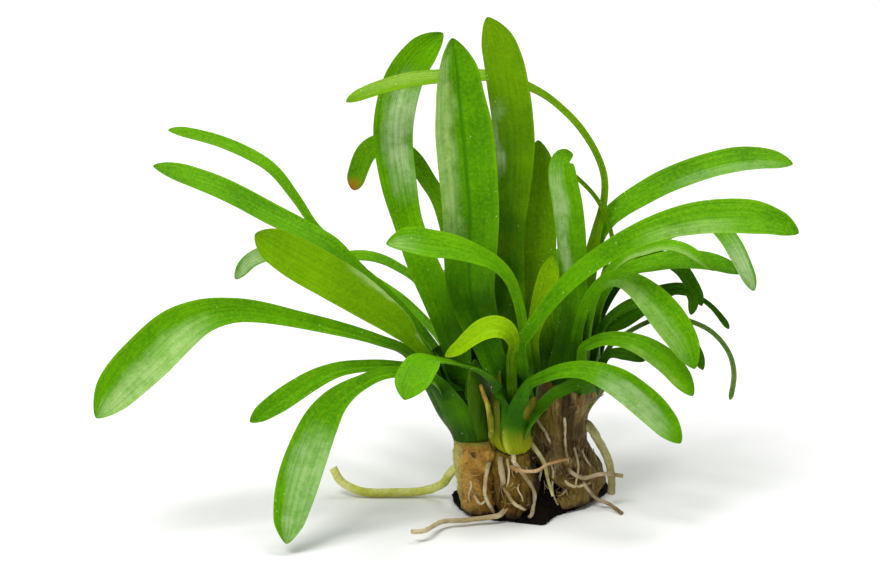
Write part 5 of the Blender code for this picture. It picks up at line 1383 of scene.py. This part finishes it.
# Small roots
# The finer roots between the main ones: short pale threads from the foot of each crown, lying close
# over the stems, with both ends tucked in. Each is given by its width and its points, across and up.
SMALL_ENDS = 0.6
SMALL_ROOTS = [
    (0.8, [(0.0, 20.0), (0.6, 18.0), (2.0, 15.8), (2.8, 14.2), (3.4, 13.0)]),
    (0.7, [(-12.2, 3.4), (-11.8, 2.4), (-11.0, 1.4), (-10.2, 1.8), (-9.6, 2.8)]),
    (0.9, [(-6.4, 5.0), (-5.8, 4.0), (-4.6, 2.0), (-2.6, 0.6), (-1.8, 0.2)]),
    (1.0, [(-4.4, 12.2), (-4.2, 10.4), (-3.9, 8.8), (-3.6, 7.6)]),
    (0.6, [(-5.6, 11.0), (-5.4, 9.8), (-5.2, 7.6), (-5.6, 4.8), (-6.0, 3.6)]),
    (0.6, [(1.4, 9.0), (1.0, 7.4), (0.8, 5.6), (0.9, 4.6)]),
    (0.7, [(5.6, 20.4), (5.9, 18.0), (6.1, 13.5), (6.6, 9.8), (7.2, 8.4)]),
    (0.6, [(7.6, 13.6), (8.0, 12.0), (8.6, 8.8), (8.2, 5.4), (8.0, 4.4)]),
    (0.8, [(5.8, 6.4), (6.4, 5.6), (8.2, 4.8), (10.4, 5.4), (11.4, 5.8)]),
    (0.5, [(2.4, 10.6), (3.6, 8.0), (3.4, 4.6), (4.2, 1.8), (5.0, 1.0)]),
    (0.5, [(9.4, 14.8), (9.6, 11.6), (11.0, 9.0), (11.4, 8.0)]),
    (0.4, [(-13.6, 6.8), (-12.8, 5.4), (-13.2, 2.8), (-12.6, 1.2)]),
    (0.4, [(-3.0, 6.2), (-3.4, 4.4), (-2.6, 2.6), (-2.4, 1.2)]),
]


def tucked_spine(points, width, lift):
    """The spine of a root laid on the stems along these points (across, up), both ends sunk in."""
    places = [IN] + [ON] * (len(points) - 2) + [IN]
    path = [(*point, place_of) for point, place_of in zip(points, places)]
    return root_spine(root_path(path, width, lift), width, SMALL_ENDS)


strand("small_roots", [tucked_spine(points, width, 0.3) for width, points in SMALL_ROOTS],
       ROOT_FINISHES["cream"], sides=10, wander=0.5)


# Root hairs
# Fine tangled brown threads, matted over the stems between the roots, but not over the black soil
# that shows between the middle and the right stem.
HAIR_COUNT = 90
HAIR_SEED = 77
SOIL_GAP = 5.0


def hair_spines():
    """Spines of short threads laid over the front of the stems at random."""
    chance = random.Random(HAIR_SEED)
    spines = []
    for _ in range(HAIR_COUNT):
        across = chance.uniform(-15.0, 12.0)
        up = chance.uniform(0.6, 14.0)
        turn = chance.gauss(-0.5 * math.pi, 0.6)
        curl = chance.uniform(-0.7, 0.7)
        reach = chance.uniform(0.8, 1.8)
        in_soil = 0.0 < across < SOIL_GAP and up < SOIL_GAP
        points = [(across, up)]
        for _ in range(3):
            turn += curl
            across += reach * math.cos(turn)
            up = max(up + reach * math.sin(turn), -0.6)
            points.append((across, up))
        width = chance.uniform(0.12, 0.32)
        if not in_soil and all(seen_spot(*point)[0] for point in points):
            spines.append(tucked_spine(points, width, 0.02))
    return spines


strand("root_hairs", hair_spines(), ROOT_FINISHES["brown"], sides=6, wander=0.5)


# Old stalk
# The stub of an outer leaf that died back: a thin, knobbly stalk from the foot of the bulb up between
# the left and middle crowns, yellow below and dried orange at its tip.
OLD_STALK_WIDTH = 1.8
OLD_STALK = [(-10.9, 25.2, -8.2), (-10.3, 23.4, -7.6), (-9.5, 21.2, -7.0), (-9.0, 18.8, -6.6),
             (-8.7, 16.2, -6.2), (-8.5, 13.8, ON), (-8.4, 12.0, IN)]


def old_stalk_finish():
    """Dying leaf tissue: yellow-green with pale lines, orange and brown where it has dried."""
    material, position = new_finish("dying stalk")
    fibres = fibres_at(position, 900.0, 0.12)
    mottle = mottle_at(position, 500.0, 2600.0)
    dried = (mottle["Patches"] * 0.0025 + parts_of(position)["Z"]).fade(0.0258, 0.0288)
    colour = layered(
        (0.22, 0.24, 0.006), (fibres["Broad"], (0.56, 0.54, 0.06)), (dried, (0.62, 0.31, 0.05)),
        (mottle["Grain"].fade(0.55, 0.7, 0.0, 0.5), (0.20, 0.09, 0.012)))
    return end_finish(material, colour, mottle["Grain"].fade(0.3, 0.7, 0.4, 0.6),
                      fibres["Fine"] + mottle["Grain"], depth=0.0002)


old_stalk_path = root_path(OLD_STALK, 0.8, lift=0.1)
strand("old_stalk", [root_spine(old_stalk_path[::-1], OLD_STALK_WIDTH, 0.35)], old_stalk_finish(),
       wander=0.3, knobs=0.3, sides=16)


# Floor, light and camera
# A plain pale floor under soft studio light: a broad light above and before the tuft on its left, a
# weaker one above and behind on its right. The camera looks down on it by the photo's angle.
FLOOR_SIZE = 8.0
SENSOR_WIDTH = 36.0
PICTURE_WIDTH = 176.0
SKY_STRENGTH = 0.36
MIDDLE_OF_TUFT = Vector((-0.02, 0.0, 0.05))

floor_shape = bmesh.new()
bmesh.ops.create_grid(floor_shape, x_segments=8, y_segments=8, size=0.5 * FLOOR_SIZE)
floor_mesh = plain_mesh("floor", floor_shape)
floor = put("floor", floor_mesh)
floor_finish = new_finish("pale floor")[0]
set_inputs(floor_finish.node_tree.nodes["Principled BSDF"].inputs, {
    "Base Color": (0.92, 0.92, 0.91), "Roughness": 0.9, "Specular IOR Level": 0.1})
floor_mesh.materials.append(floor_finish)

world = bpy.data.worlds.new("white studio")
world.use_nodes = True
set_inputs(world.node_tree.nodes["Background"].inputs, {"Color": (1.0, 1.0, 1.0), "Strength": SKY_STRENGTH})
bpy.context.scene.world = world


def soft_light(name, spot, size, power):
    """A square area light, in metres and watts, turned to the middle of the tuft."""
    light = bpy.data.lights.new(name, "AREA")
    light.shape = "SQUARE"
    light.size = size
    light.energy = power
    lamp = put(name, light)
    lamp.location = spot
    lamp.rotation_euler = (MIDDLE_OF_TUFT - Vector(spot)).to_track_quat("-Z", "Y").to_euler()


soft_light("key light", (-1.0, -1.4, 2.5), size=1.2, power=58.0)
soft_light("top light", (0.6, 0.3, 2.7), size=1.2, power=42.0)

camera = bpy.data.cameras.new("camera")
camera.sensor_width = SENSOR_WIDTH
camera.lens = SENSOR_WIDTH * VIEW_DISTANCE / PICTURE_WIDTH
camera.clip_start = 0.01
camera.clip_end = 20.0
viewer = put("camera", camera)
upward = Vector((0.0, math.sin(VIEW_TILT), math.cos(VIEW_TILT)))
viewer.location = (Vector((AXIS_ACROSS, 0.0, 0.0)) + upward * AXIS_UP + EYE * VIEW_DISTANCE) * MM
viewer.rotation_euler = (0.5 * math.pi - VIEW_TILT, 0.0, 0.0)
bpy.context.scene.camera = viewer
bpy.context.scene.view_settings.view_transform = "Standard"
